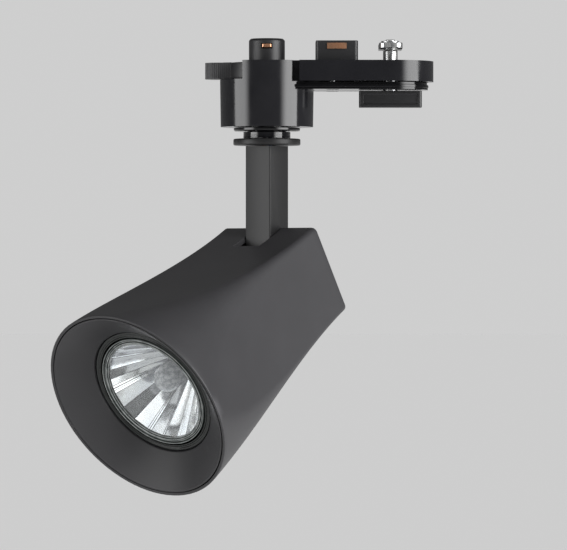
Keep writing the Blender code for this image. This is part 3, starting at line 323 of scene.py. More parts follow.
def arm_outline(inset, start):
    """The arm's outline: straight flanks from start, and a half-round end."""
    radius = ARM_HALF_WIDTH - inset
    points = [(start, -radius)]
    points += arc((ARM_END - ARM_HALF_WIDTH, 0.0), radius, -pi / 2, pi / 2, 64)
    points.append((start, radius))
    return points


def loft(stations, closed=False):
    """A solid through a list of rings of 3-D points; capped at both ends, or closed on itself."""
    shape = bmesh.new()
    rings = [[shape.verts.new(point) for point in ring] for ring in stations]
    pairs = list(zip(rings, rings[1:]))
    if closed:
        pairs.append((rings[-1], rings[0]))
    for lower, upper in pairs:
        for index in range(len(lower)):
            after = (index + 1) % len(lower)
            shape.faces.new((lower[index], lower[after], upper[after], upper[index]))
    if not closed:
        shape.faces.new(rings[0])
        shape.faces.new(rings[-1])
    bmesh.ops.recalc_face_normals(shape, faces=shape.faces)
    return shape


def prism(outline, low, high):
    """A solid with this outline from low to high along Z."""
    return loft([[(x, y, z) for x, y in outline] for z in (low, high)])


def block(low, high):
    """A box between two corners."""
    outline = [(low[0], low[1]), (high[0], low[1]), (high[0], high[1]), (low[0], high[1])]
    return prism(outline, low[2], high[2])


def turned(profile, segments=96):
    """A solid of revolution about Z from a (radius, z) profile; radius 0 is a point on the axis."""
    shape = bmesh.new()
    rings = []
    for radius, z in profile:
        ring = []
        for index in range(segments if radius > 0.0 else 1):
            angle = 2.0 * pi * index / segments
            ring.append(shape.verts.new((radius * cos(angle), radius * sin(angle), z)))
        rings.append(ring)
    for first, second in zip(rings, rings[1:] + rings[:1]):
        if len(first) == 1 and len(second) == 1:
            continue
        for index in range(segments):
            after = (index + 1) % segments
            corners = [first[index % len(first)], first[after % len(first)]]
            corners += [second[after % len(second)], second[index % len(second)]]
            shape.faces.new(list(dict.fromkeys(corners)))
    bmesh.ops.recalc_face_normals(shape, faces=shape.faces)
    return shape


def rounded_profile(corners, radius=EASED, steps=3):
    """A closed (radius, z) profile with its corners rounded; a third value sets a corner's own."""
    points = []
    count = len(corners)
    for index, corner in enumerate(corners):
        here = Vector(corner[:2])
        size = corner[2] if len(corner) > 2 else radius
        if here.x <= 0.0 or size <= 0.0:
            points.append(tuple(here))
            continue
        before = Vector(corners[index - 1][:2]) - here
        after = Vector(corners[(index + 1) % count][:2]) - here
        size = min(size, before.length * 0.45, after.length * 0.45)
        start = here + before.normalized() * size
        end = here + after.normalized() * size
        for step in range(steps + 1):
            share = step / steps
            bend = start.lerp(here, share).lerp(here.lerp(end, share), share)
            points.append(tuple(bend))
    return points


def moved(shape, offset=(0.0, 0.0, 0.0), turn=None):
    """Turn a bmesh with a rotation matrix, then move it."""
    if turn:
        bmesh.ops.transform(shape, matrix=turn, verts=shape.verts)
    bmesh.ops.translate(shape, vec=Vector(offset), verts=shape.verts)
    return shape


def along_x(shape, start, centre):
    """Lay a shape drawn along Z on the X direction, starting at x = start."""
    return moved(shape, (start, centre[0], centre[1]), Matrix.Rotation(pi / 2, 4, "Y"))


def link_mesh(name, shape):
    """Put a bmesh in the scene as a new object."""
    mesh = bpy.data.meshes.new(name)
    shape.to_mesh(mesh)
    shape.free()
    item = bpy.data.objects.new(name, mesh)
    bpy.context.scene.collection.objects.link(item)
    return item


def combine(item, shape, operation):
    """Join or cut a bmesh with an applied Boolean, and remove the tool."""
    tool = link_mesh("tool", shape)
    boolean = item.modifiers.new("boolean", "BOOLEAN")
    boolean.operation = operation
    boolean.solver = "EXACT"
    boolean.object = tool
    graph = bpy.context.evaluated_depsgraph_get()
    result = bpy.data.meshes.new_from_object(item.evaluated_get(graph))
    item.modifiers.clear()
    item.data = result
    bpy.data.objects.remove(tool, do_unlink=True)


PIECES = {body: [] for body in frame["bodies"]}


def settle(item, body, nodes):
    """Put a finished piece on its body, in place of the CAD nodes that it replaces."""
    PIECES[body].append(item)
    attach(item, body)
    if nodes:
        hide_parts(*nodes)
    return item


def piece(name, shape, look, body, nodes, place=WORLD, joins=(), cuts=(), bevel=0.0, smooth=35.0):
    """Finish a piece: Booleans, edges, shading, material, and its place in the model."""
    item = link_mesh(name, shape)
    for extra in joins:
        combine(item, extra, "UNION")
    for tool in cuts:
        combine(item, tool, "DIFFERENCE")
    item.data.transform(place)
    item.data.materials.clear()
    item.data.materials.append(look)
    item.data.shade_smooth()
    item.data.set_sharp_from_angle(angle=radians(smooth))
    if bevel:
        edge = item.modifiers.new("edges", "BEVEL")
        edge.width = bevel
        edge.segments = 3
        edge.limit_method = "ANGLE"
        edge.angle_limit = radians(smooth)
        edge.harden_normals = True
    return settle(item, body, nodes)


def detail(node, shape, look, body, place=WORLD, **finish):
    """A piece that takes the place of one CAD node."""
    return piece(node + "_detail", shape, look, body, [node], place, **finish)


def wire(name, points, radius, look, body, nodes, place):
    """A round lead or wire through a list of points."""
    curve = bpy.data.curves.new(name, "CURVE")
    curve.dimensions = "3D"
    curve.bevel_depth = radius
    curve.bevel_resolution = 4
    curve.use_fill_caps = True
    spline = curve.splines.new("BEZIER")
    spline.bezier_points.add(len(points) - 1)
    for knot, point in zip(spline.bezier_points, points):
        knot.co = place @ Vector(point)
        knot.handle_left_type = "AUTO"
        knot.handle_right_type = "AUTO"
    item = bpy.data.objects.new(name, curve)
    bpy.context.scene.collection.objects.link(item)
    curve.materials.append(look)
    return settle(item, body, nodes)


# ------------------------------------------------------------------ materials


class Look:
    """A Principled material under construction: one method for each kind of detail."""

    def __init__(self, name, slot, **values):
        self.material = bpy.data.materials.new(name)
        self.material.use_nodes = True
        self.material["slot"] = slot
        self.nodes = self.material.node_tree.nodes
        self.links = self.material.node_tree.links
        self.shader = self.nodes["Principled BSDF"]
        self.coordinates = self.nodes.new("ShaderNodeTexCoord")
        self.height = None
        for socket, value in values.items():
            self.shader.inputs[socket.replace("_", " ")].default_value = value

    def noise(self, scale, detail=4.0, roughness=0.5, stretch=(1.0, 1.0, 1.0)):
        """A noise texture in the object's own space; scale is in cycles a metre."""
        mapping = self.nodes.new("ShaderNodeMapping")
        mapping.inputs["Scale"].default_value = stretch
        self.links.new(self.coordinates.outputs["Object"], mapping.inputs["Vector"])
        texture = self.nodes.new("ShaderNodeTexNoise")
        texture.inputs["Scale"].default_value = scale
        texture.inputs["Detail"].default_value = detail
        texture.inputs["Roughness"].default_value = roughness
        self.links.new(mapping.outputs["Vector"], texture.inputs["Vector"])
        return texture.outputs["Fac"]

    def spread(self, source, low, high, start=0.0, end=1.0):
        """Map a texture's range from start..end to low..high."""
        node = self.nodes.new("ShaderNodeMapRange")
        node.inputs["From Min"].default_value = start
        node.inputs["From Max"].default_value = end
        node.inputs["To Min"].default_value = low
        node.inputs["To Max"].default_value = high
        self.links.new(source, node.inputs["Value"])
        return node.outputs["Result"]

    def edges(self, low, high):
        """Where the surface is a raised edge, from the mesh's pointiness."""
        geometry = self.nodes.new("ShaderNodeNewGeometry")
        return self.spread(geometry.outputs["Pointiness"], 0.0, 1.0, low, high)

    def mix(self, factor, first, second):
        """Blend two colours by a factor."""
        node = self.nodes.new("ShaderNodeMix")
        node.data_type = "RGBA"
        self.links.new(factor, node.inputs["Factor"])
        for socket, value in ((6, first), (7, second)):
            if isinstance(value, tuple):
                node.inputs[socket].default_value = (*value, 1.0)
            else:
                self.links.new(value, node.inputs[socket])
        return node.outputs[2]

    def colour(self, source):
        """Drive the base colour."""
        self.links.new(source, self.shader.inputs["Base Color"])

    def roughness(self, source):
        """Drive the roughness."""
        self.links.new(source, self.shader.inputs["Roughness"])

    def bump(self, source, depth, strength=1.0):
        """Add a bump of this depth in metres; several bumps stack."""
        node = self.nodes.new("ShaderNodeBump")
        node.inputs["Strength"].default_value = strength
        node.inputs["Distance"].default_value = depth
        self.links.new(source, node.inputs["Height"])
        if self.height:
            self.links.new(self.height, node.inputs["Normal"])
        self.height = node.outputs["Normal"]
        self.links.new(self.height, self.shader.inputs["Normal"])


def shaded(colour, factor):
    """A colour made darker or paler by a factor."""
    return tuple(factor * value for value in colour)


def powder_coat(name, shade, rough):
    """Fine-textured dark grey powder coat: sparkle-size grain, faint clouding, and raised edges
    painted paler as a highlight.
    """
    look = Look(name, "painted_metal", Roughness=rough, IOR=1.5)
    grain = look.noise(5200.0, 2.0, 0.6)
    cloud = look.noise(60.0, 3.0, 0.5)
    clouds = look.spread(cloud, 0.0, 1.0, 0.3, 0.7)
    base = look.mix(clouds, shaded(shade, 0.93), shaded(shade, 1.06))
    speckled = look.mix(look.spread(grain, 0.0, 0.5, 0.35, 0.8), base, shaded(shade, 1.6))
    # Raised edges are painted paler: a painted highlight along them.
    look.colour(look.mix(look.edges(0.53, 0.66), speckled, shaded(shade, 1.9)))
    look.roughness(look.spread(grain, rough - 0.06, rough + 0.08, 0.3, 0.7))
    look.bump(grain, 0.018 * MM, 0.5)
    look.bump(look.noise(1100.0, 2.0, 0.5), 0.02 * MM, 0.25)
    return look.material


def gloss_plastic(name, smooth, smeared):
    """Polished black moulding: a trace of orange peel, dust and handling smears, and raised edges
    painted paler as a highlight.
    """
    look = Look(name, "gloss_plastic", IOR=1.5)
    smear = look.noise(45.0, 5.0, 0.6)
    dust = look.noise(2600.0, 1.0, 0.4)
    base = look.mix(
        look.spread(dust, 0.0, 1.0, 0.72, 0.82), (0.003, 0.003, 0.0036), (0.008, 0.008, 0.009)
    )
    # Raised edges are painted a touch paler: a painted highlight along them.
    look.colour(look.mix(look.edges(0.54, 0.7), base, (0.012, 0.012, 0.014)))
    look.roughness(look.spread(smear, smooth, smeared, 0.35, 0.7))
    look.bump(look.noise(240.0, 2.0, 0.4), 0.012 * MM, 0.3)
    return look.material


def matte_plastic():
    """Spark-eroded matte black moulding, with raised edges painted paler as a highlight."""
    look = Look("matte_black_plastic", "matte_plastic", IOR=1.5)
    grain = look.noise(3000.0, 3.0, 0.6)
    cloud = look.noise(80.0)
    base = look.mix(look.spread(cloud, 0.0, 1.0), (0.009, 0.009, 0.0095), (0.014, 0.014, 0.0155))
    # Raised edges are painted paler: a painted highlight along them.
    look.colour(look.mix(look.edges(0.53, 0.68), base, (0.05, 0.05, 0.055)))
    look.roughness(look.spread(grain, 0.34, 0.5, 0.3, 0.7))
    look.bump(grain, 0.02 * MM, 0.6)
    return look.material


def plated_steel():
    """Zinc-plated steel with a fine rolled grain."""
    look = Look("zinc_plated_steel", "steel", Metallic=1.0)
    grain = look.noise(900.0, 4.0, 0.6, (1.0, 1.0, 0.15))
    patches = look.spread(grain, 0.0, 1.0, 0.3, 0.7)
    look.colour(look.mix(patches, (0.46, 0.47, 0.49), (0.62, 0.62, 0.6)))
    look.roughness(look.spread(grain, 0.22, 0.42, 0.3, 0.7))
    look.bump(grain, 0.01 * MM, 0.4)
    return look.material


def warm_metal(name, slot, dull, bright):
    """Copper or brass with a patchy tarnish."""
    look = Look(name, slot, Metallic=1.0)
    tarnish = look.noise(160.0, 5.0, 0.6)
    look.colour(look.mix(look.spread(tarnish, 0.0, 1.0, 0.4, 0.65), bright, dull))
    look.roughness(look.spread(tarnish, 0.2, 0.45, 0.35, 0.7))
    look.bump(look.noise(1400.0, 2.0), 0.008 * MM, 0.4)
    return look.material


def ceramic():
    """Unglazed steatite with fine pits."""
    look = Look("white_ceramic", "ceramic", Roughness=0.5)
    pits = look.noise(1500.0, 4.0, 0.65)
    patches = look.spread(pits, 0.0, 1.0, 0.35, 0.65)
    look.colour(look.mix(patches, (0.66, 0.63, 0.56), (0.82, 0.8, 0.74)))
    look.roughness(look.spread(pits, 0.42, 0.6, 0.3, 0.7))
    look.bump(pits, 0.03 * MM, 0.5)
    return look.material


def fibre():
    """Red-brown vulcanised fibre."""
    look = Look("vulcanised_fibre", "fibre", Roughness=0.75)
    strands = look.noise(1200.0, 5.0, 0.7)
    look.colour(look.mix(strands, (0.16, 0.06, 0.03), (0.3, 0.14, 0.07)))
    look.bump(strands, 0.03 * MM, 0.5)
    return look.material


def sheath(name, slot, shade):
    """Silicone lead sheath, slightly dusty."""
    look = Look(name, slot, Roughness=0.5)
    dust = look.noise(900.0, 4.0, 0.6)
    dusty = tuple(value + 0.08 for value in shade)
    look.colour(look.mix(look.spread(dust, 0.0, 0.5, 0.5, 0.8), shade, dusty))
    look.roughness(look.spread(dust, 0.42, 0.6, 0.3, 0.7))
    look.bump(dust, 0.02 * MM, 0.4)
    return look.material


def clear_glass():
    """Clear lamp glass with the faintest waviness; light passes straight through its shadow."""
    look = Look("lamp_glass_clear", "glass", Roughness=0.02, IOR=1.47)
    look.shader.inputs["Transmission Weight"].default_value = 1.0
    look.shader.inputs["Base Color"].default_value = (0.96, 0.98, 0.98, 1.0)
    look.bump(look.noise(130.0, 2.0), 0.01 * MM, 0.3)
    through = look.nodes.new("ShaderNodeBsdfTransparent")
    path = look.nodes.new("ShaderNodeLightPath")
    blend = look.nodes.new("ShaderNodeMixShader")
    look.links.new(path.outputs["Is Shadow Ray"], blend.inputs["Fac"])
    look.links.new(look.shader.outputs["BSDF"], blend.inputs[1])
    look.links.new(through.outputs["BSDF"], blend.inputs[2])
    look.links.new(blend.outputs["Shader"], look.nodes["Material Output"].inputs["Surface"])
    return look.material


def quartz():
    """Hazy quartz of the capsule: glass with a faint bloom that catches the light."""
    look = Look("capsule_quartz", "glass", IOR=1.46)
    look.shader.inputs["Transmission Weight"].default_value = 0.6
    bloom = look.noise(650.0, 4.0, 0.6)
    milk = look.spread(bloom, 0.0, 1.0, 0.4, 0.6)
    look.colour(look.mix(milk, (0.55, 0.56, 0.59), (0.97, 0.98, 0.99)))
    look.roughness(look.spread(bloom, 0.04, 0.14, 0.35, 0.7))
    look.bump(look.noise(900.0, 3.0), 0.05 * MM, 0.6)
    return look.material


def mirror(name, metal, dull, bright, smooth, rough):
    """Reflector coating: a slightly milky cool mirror with faint tint changes."""
    look = Look(name, "mirror", Metallic=metal)
    tint = look.noise(90.0, 2.0)
    look.colour(look.mix(look.spread(tint, 0.0, 1.0, 0.35, 0.65), dull, bright))
    look.roughness(look.spread(look.noise(500.0, 3.0), smooth, rough, 0.3, 0.7))
    look.bump(look.noise(900.0, 3.0), 0.004 * MM, 0.4)
    return look.material


def rim_glass(name, slot, dark, pale):
    """Moulded green-grey glass or ring with soft ripples."""
    look = Look(name, slot, IOR=1.5)
    ripple = look.noise(300.0, 3.0)
    look.colour(look.mix(look.spread(ripple, 0.0, 1.0, 0.35, 0.65), dark, pale))
    look.roughness(look.spread(ripple, 0.1, 0.24, 0.3, 0.7))
    look.bump(ripple, 0.02 * MM, 0.4)
    return look.material


def tungsten():
    """Dark grey filament wire."""
    look = Look("tungsten", "steel", Metallic=1.0)
    grain = look.noise(2500.0, 2.0)
    look.colour(look.mix(grain, (0.14, 0.14, 0.15), (0.3, 0.3, 0.31)))
    look.roughness(look.spread(grain, 0.3, 0.5))
    return look.material


GREY = powder_coat("grey_powder_coat", (0.036, 0.0355, 0.038), 0.42)
STEM_GREY = powder_coat("stem_powder_coat", (0.0125, 0.0125, 0.013), 0.4)
GLOSS = gloss_plastic("gloss_black_plastic", 0.1, 0.2)
POLISHED = gloss_plastic("polished_black_plastic", 0.03, 0.08)
MATTE = matte_plastic()
STEEL = plated_steel()
COPPER = warm_metal("contact_copper", "copper", (0.42, 0.2, 0.11), (0.8, 0.45, 0.28))
BRASS = warm_metal("pin_brass", "brass", (0.45, 0.33, 0.15), (0.75, 0.6, 0.34))
CERAMIC = ceramic()
FIBRE = fibre()
BROWN = sheath("brown_sheath", "brown_sheath", (0.16, 0.06, 0.025))
BLUE = sheath("blue_sheath", "blue_sheath", (0.02, 0.07, 0.3))
GLASS = clear_glass()
QUARTZ = quartz()
MIRROR = mirror("reflector_coating", 0.9, (0.86, 0.88, 0.92), (0.95, 0.95, 0.94), 0.06, 0.15)
# Dark coating for the faces along the reflector's grooves: painted shade in the grooves.
GROOVE_SHADE = mirror("reflector_groove_painted_shade", 0.9, (0.1, 0.1, 0.12), (0.3, 0.3, 0.33), 0.2, 0.35)
RIM_GLASS = rim_glass("moulded_rim_glass", "glass", (0.012, 0.016, 0.015), (0.04, 0.05, 0.046))
# Pale colour for the rim's ridges: painted highlight lines.
PAINTED_RIM_HIGHLIGHT = rim_glass("rim_ridge_painted_highlight", "glass", (0.2, 0.22, 0.215), (0.42, 0.44, 0.435))
RING = rim_glass("lamp_ring_plastic", "gloss_plastic", (0.008, 0.01, 0.0095), (0.02, 0.024, 0.022))
TUNGSTEN = tungsten()


# ------------------------------------------------------------------ fasteners


def cross_recess(radius, depth, tilt=0.3):
    """A cross-shaped driver recess at z = 0, going up."""
    arm = radius * 0.22
    turn = Matrix.Rotation(tilt, 4, "Z")
    return [
        moved(block((-radius, -arm, -MM), (radius, arm, depth)), turn=turn),
        moved(block((-arm, -radius, -MM), (arm, radius, depth)), turn=turn),
    ]


def screw_shapes(head_radius, head_length, shank_radius, shank_length):
    """A pan-head screw along +Z with its head from -head_length to 0, and its driver recess."""
    crown = 0.35 * head_length
    steps = 6
    profile = [(0.0, -head_length)]
    for step in range(1, steps + 1):
        share = step / steps
        drop = crown * (1.0 - sqrt(1.0 - (0.95 * share) ** 2))
        profile.append((head_radius * 0.97 * share, -head_length + drop))
    profile += [(head_radius, -head_length / 2), (head_radius, -TINY)]
    profile += [(head_radius - TINY, 0.0), (shank_radius, 0.0)]
    profile += [(shank_radius, shank_length - EASED), (shank_radius - EASED, shank_length)]
    profile.append((0.0, shank_length))
    recess = cross_recess(head_radius * 0.55, head_length * 0.6)
    return turned(profile, 48), [moved(tool, (0.0, 0.0, -head_length)) for tool in recess]


def add_screw(name, sizes, offset, turn, body, place=WORLD):
    """A screw that replaces the CAD screw of the same name."""
    screw, recess = screw_shapes(*sizes)
    cuts = [moved(tool, offset, turn) for tool in recess]
    detail(name, moved(screw, offset, turn), STEEL, body, place, cuts=cuts)


def add_upright_screws(kind, sizes, centres, body, place=WORLD):
    """Screws that point up along Z, numbered from 1, with their heads where the CAD heads are."""
    for index, (x, y) in enumerate(centres):
        name = "%s_%d" % (kind, index + 1)
        base = extent(name, place)[0].z + sizes[1]
        add_screw(name, sizes, (x, y, base), None, body, place)


def washer_shape(inner, outer, low, high, segments=96):
    """A flat ring with broken edges."""
    corners = [(inner, low), (outer, low), (outer, high), (inner, high)]
    return turned(rounded_profile(corners, FINE), segments)


# ------------------------------------------------------------------ adapter


def sector(radius, start, end, low, high):
    """A pie slice about the Z axis."""
    return prism([(0.0, 0.0)] + arc((0.0, 0.0), radius, start, end, 32), low, high)


def lock_hole(low, high):
    """The cutter for the lock shaft's hole in the arm and its cover."""
    return prism(circle(SHAFT_HOLE, (LOCK_X, 0.0), 48), low, high)


def mirrored_blocks(low, high):
    """Two boxes on either side of Y = 0; low and high are the corners of the one at y > 0."""
    return [block((low[0], -high[1], low[2]), (high[0], -low[1], high[2])), block(low, high)]


def build_adapter_housing():
    """Barrel and arm in one moulding, with the lever's slot, the notches and the hollows."""
    floor = BARREL_FLOOR - BARREL_DEPTH
    cavity = turned([
        (0.0, MM), (0.0, floor), (CAVITY_RADIUS, floor), (CAVITY_RADIUS, -LEDGE_DEPTH),
        (RECESS_RADIUS, -LEDGE_DEPTH), (RECESS_RADIUS, MM),
    ])
    cuts = [
        cavity,
        prism(circle(BUSH_OUTER + GAP), -BARREL_DEPTH - MM, floor + MM),
        sector(2.0 * BARREL_RADIUS, *LEVER_SLOT, -LEVER_SLOT_DEPTH, MM),
        *mirrored_blocks((NOTCH_X[0], NOTCH_Y[0], -NOTCH_DEPTH), (NOTCH_X[1], NOTCH_Y[1], MM)),
        prism(arm_outline(ARM_WALL, ARM_CAVITY_START), -ARM_DEPTH - MM, -ARM_ROOF),
        lock_hole(-ARM_DEPTH, MM),
        block(*INSERT_POCKET),
    ]
    joins = [prism(arm_outline(0.0, ARM_START), -ARM_DEPTH, 0.0)]
    foot_radius = BARREL_RADIUS - BARREL_DRAFT
    profile = [(0.0, -BARREL_DEPTH), (foot_radius, -BARREL_DEPTH), (BARREL_RADIUS, 0.0), (0.0, 0.0)]
    piece(
        "adapter_shell", turned(profile, 160), GLOSS, "adapter", ["adapter_housing"],
        joins=joins, cuts=cuts, bevel=0.28 * MM,
    )


def build_arm_cover():
    """The inset plate under the arm, with a moulded seam line round its end."""
    low, high = extent("arm_cover", WORLD)
    cuts = [
        prism(circle(BARREL_RADIUS + GAP), low.z - MM, high.z + MM),
        lock_hole(low.z - MM, high.z + MM),
    ]
    for centre in COVER_SCREWS:
        cuts.append(prism(circle(SINK_RADIUS, centre, 48), low.z - MM, low.z + SINK_DEPTH))
    plate = prism(arm_outline(COVER_INSET, 0.0), low.z, high.z - COVER_STEP)
    seam_low, seam_high = COVER_SEAM
    joins = [
        prism(arm_outline(COVER_SEAM_INSET, 0.0), low.z + seam_low, low.z + seam_high),
        prism(arm_outline(COVER_TOP_INSET, 0.0), high.z - COVER_TOP, high.z),
    ]
    detail("arm_cover", plate, GLOSS, "adapter", joins=joins, cuts=cuts, bevel=SMALL)
    add_upright_screws("cover_screw", COVER_SCREW, COVER_SCREWS, "adapter")


def build_track_insert():
    """Tongue in the track's mouth with moulded ribs."""
    low, high = extent("track_insert", WORLD)
    centre = (low.x + high.x) / 2
    outline = rounded_rectangle((high.x - low.x) / 2, high.y, INSERT_CORNER, (centre, 0.0))
    half_width, half_length, depth = RIB_GAP
    cuts = []
    for index in range(RIB_GAPS):
        x = centre + (index - RIB_GAPS // 2) * RIB_PITCH
        foot = (x - half_width, -half_length, high.z - depth)
        cuts.append(block(foot, (x + half_width, half_length, high.z + MM)))
    insert = prism(outline, low.z, high.z)
    detail("track_insert", insert, MATTE, "adapter", cuts=cuts, bevel=EASED)


def build_earth_contact():
    """The sprung earth contact, a thin strip bowed away from the insert."""
    low, high = extent("earth_contact", WORLD)
    points = []
    steps = 16
    for step in range(steps + 1):
        share = step / steps
        y = high.y - SPRING_BOW - SPRING_BOW * sin(pi * share)
        points.append((low.x + (high.x - low.x) * share, y))
    outline = points + [(x, y + SPRING_THICK) for x, y in reversed(points)]
    detail("earth_contact", prism(outline, low.z, high.z), COPPER, "adapter")


def build_inner_adapter():
    """Terminal block, contact base and pan bush."""
    low, high = extent("terminal_block", WORLD)
    cuts = []
    for x, y in TERMINAL_SCREWS:
        cuts.append(prism(circle(TERMINAL_SINK, (x, y), 32), low.z - MM, low.z + MM))
        mouth = prism(circle(WIRE_MOUTH, segments=24), -MM, WIRE_MOUTH_DEPTH)
        cuts.append(along_x(mouth, low.x, (y, low.z + WIRE_MOUTH_Z)))
    detail("terminal_block", block(low, high), CERAMIC, "adapter", cuts=cuts, bevel=EASED)
    add_upright_screws("terminal_screw", TERMINAL_SCREW, TERMINAL_SCREWS, "adapter")
    low, high = extent("contact_base", WORLD)
    ring = washer_shape(STUB_RADIUS + GAP, high.x, low.z, high.z)
    detail("contact_base", ring, MATTE, "adapter")
    low, high = extent("pan_bush", WORLD)
    corners = [
        (BUSH_INNER, low.z), (high.x, low.z, 1.4 * MM), (high.x, BUSH_STEP, FINE),
        (BUSH_OUTER, BUSH_STEP, TINY), (BUSH_OUTER, high.z), (BUSH_INNER, high.z),
    ]
    detail("pan_bush", turned(rounded_profile(corners, steps=6)), GLOSS, "adapter")


# ------------------------------------------------------------------ lever and lock


def ribbed_outline(length):
    """The lever's outline, with a saw-tooth grip along its flanks and round its end."""
    straight = length - LEVER_HALF_WIDTH
    spacing = GRIP_PITCH / 4
    steps = int(straight / spacing)
    plain = [(-straight * step / steps, LEVER_HALF_WIDTH) for step in range(steps + 1)]
    count = int(pi * LEVER_HALF_WIDTH / spacing)
    plain += arc((-straight, 0.0), LEVER_HALF_WIDTH, pi / 2, 3 * pi / 2, count)[1:]
    for step in range(1, steps + 1):
        plain.append((-straight * (1.0 - step / steps), -LEVER_HALF_WIDTH))
    teeth = (0.0, -GRIP_DEPTH, -GRIP_DEPTH, 0.0)
    points = []
    for index, (x, y) in enumerate(plain):
        outward = (Vector((x, y)) - Vector((max(x, -straight), 0.0))).normalized()
        level = teeth[index % 4] if x < -GRIP_START else 0.0
        points.append(tuple(Vector((x, y)) + outward * level))
    return points


def build_contact_lever():
    """Rotor with its tower, the ribbed lever, and the two contact blades."""
    low, high = extent("contact_lever", WORLD)
    corners = [
        (0.0, low.z), (STUB_RADIUS, low.z), (STUB_RADIUS, LEVER_BOTTOM, 0.0),
        (high.x, LEVER_BOTTOM), (high.x, LEVER_TOP, 0.4 * MM), (DISH_RADIUS, LEVER_TOP, SMALL),
        (DISH_RADIUS - GAP, DISH_FLOOR, SMALL), (TOWER_RADIUS, DISH_FLOOR, EASED),
        (TOWER_RADIUS, high.z - TOWER_CHAMFER), (TOWER_RADIUS - TOWER_CHAMFER, high.z),
        (0.0, high.z),
    ]
    rotor = turned(rounded_profile(corners), 128)
    plate = prism(ribbed_outline(-low.x), LEVER_BOTTOM, LEVER_TOP)
    cuts = mirrored_blocks(*CONTACT_SLOT)
    half_length, half_width, depth = TOWER_GROOVE
    foot = (-half_length, -half_width, high.z - depth)
    cuts.append(block(foot, (half_length, half_width, high.z + MM)))
    piece(
        "contact_rotor", rotor, MATTE, "contact_lever", ["contact_lever"],
        joins=[plate], cuts=cuts, smooth=40.0,
    )
    for name in ("live_contact", "neutral_contact"):
        low, high = extent(name, WORLD)
        half_width = (high.x - low.x) / 2
        half_length = (high.y - low.y) / 2
        centre = (0.0, (low.y + high.y) / 2)
        outline = rounded_rectangle(half_width, half_length, CONTACT_CORNER, centre)
        detail(name, prism(outline, low.z, high.z), COPPER, "contact_lever", bevel=0.35 * MM)


def build_lock_knob():
    """Bar knob with a shallow finger recess in each flank."""
    low, high = extent("lock_knob", LOCK)
    cuts = mirrored_blocks(
        (low.x + FINGER_END, high.y - FINGER_DEPTH, low.z + FINGER_EDGE),
        (high.x - FINGER_END, high.y + 2.0 * MM, high.z - FINGER_EDGE),
    )
    cuts.append(prism(circle(SHAFT_HOLE, segments=48), KNOB_BORE_FLOOR, high.z + MM))
    knob = prism(rounded_rectangle(high.x, high.y, KNOB_CORNER), low.z, high.z)
    detail("lock_knob", knob, MATTE, "lock", LOCK, cuts=cuts, bevel=EASED)


def build_lock_shaft():
    """Stepped shaft, the cam with its two ramps, and the retaining ring."""
    low, high = extent("lock_shaft", LOCK)
    corners = [
        (0.0, low.z), (SHAFT_RADIUS, low.z), (SHAFT_RADIUS, SHAFT_SHOULDER),
        (PIN_RADIUS, SHAFT_SHOULDER, TINY), (PIN_RADIUS, high.z, 0.4 * MM), (0.0, high.z),
    ]
    detail("lock_shaft", turned(rounded_profile(corners), 48), STEEL, "lock", LOCK)
    low, high = extent("lock_cam", LOCK)
    cam = prism(rounded_rectangle(high.x, high.y, CAM_CORNER), low.z, high.z)
    cuts = [prism(circle(PIN_HOLE, segments=48), low.z - MM, high.z + MM)]
    for side in SIDES:
        ramp = block(*RAMP)
        if side < 0.0:
            ramp = moved(ramp, (0.0, RAMP_MIRROR, 0.0))
        turn = Matrix.Rotation(RAMP_TILT * side, 4, "X")
        cuts.append(moved(ramp, (0.0, side * (high.y - RAMP_REACH), low.z + FINE), turn))
    detail("lock_cam", cam, STEEL, "lock", LOCK, cuts=cuts, bevel=EASED)
    low, high = extent("cam_clip", LOCK)
    gap = block((0.0, -CLIP_GAP, low.z - MM), (6.0 * MM, CLIP_GAP, high.z + MM))
    ring = washer_shape(PIN_HOLE, high.x, low.z, high.z, 64)
    detail("cam_clip", ring, STEEL, "lock", LOCK, cuts=[gap])


# ------------------------------------------------------------------ stem


def add_leads(kind, route, radius, body, place):
    """A live and a neutral lead; the route is the neutral one's, and x is mirrored for the live."""
    for name, side, look in ((kind + "_live", -1.0, BROWN), (kind + "_neutral", 1.0, BLUE)):
        points = [(side * x, y, z) for x, y, z in route]
        wire(name + "_sheath", points, radius, look, body, [name], place)


def build_spindle():
    """Neck with its fine ridges and spindle in one, with the pan nut and washer."""
    low, high = extent("pan_spindle", STEM)
    corners = [
        (SPINDLE_BORE, low.z), (NECK_RADIUS, low.z, FINE), (NECK_RADIUS, low.z + 0.35 * MM, TINY),
    ]
    for ridge in range(NECK_RIDGES):
        foot = low.z + FIRST_RIDGE + RIDGE_PITCH * ridge
        corners += [
            (NECK_RADIUS - RIDGE_DEPTH, foot, 0.05 * MM),
            (NECK_RADIUS, foot + TINY, RIDGE_ROUND),
            (NECK_RADIUS, foot + 0.35 * MM, RIDGE_ROUND),
        ]
    corners += [
        (NECK_RADIUS - SMALL, NECK_TOP, TINY), (SPINDLE_RADIUS, NECK_TOP, TINY),
        (SPINDLE_RADIUS, high.z, 0.4 * MM), (SPINDLE_BORE, high.z),
    ]
    spindle = turned(rounded_profile(corners), 128)
    piece("neck_and_spindle", spindle, POLISHED, "stem", ["pan_spindle"], STEM)
    low, high = extent("pan_nut", STEM)
    nut = prism(circle(PAN_NUT_RADIUS, segments=6), low.z, high.z)
    bore = prism(circle(PAN_NUT_BORE), low.z - MM, high.z + MM)
    detail("pan_nut", nut, STEEL, "stem", STEM, cuts=[bore], bevel=0.35 * MM)
    low, high = extent("pan_washer", STEM)
    washer = washer_shape(SPINDLE_RADIUS + GAP, PAN_NUT_RADIUS, low.z, high.z)
    detail("pan_washer", washer, STEEL, "stem", STEM)


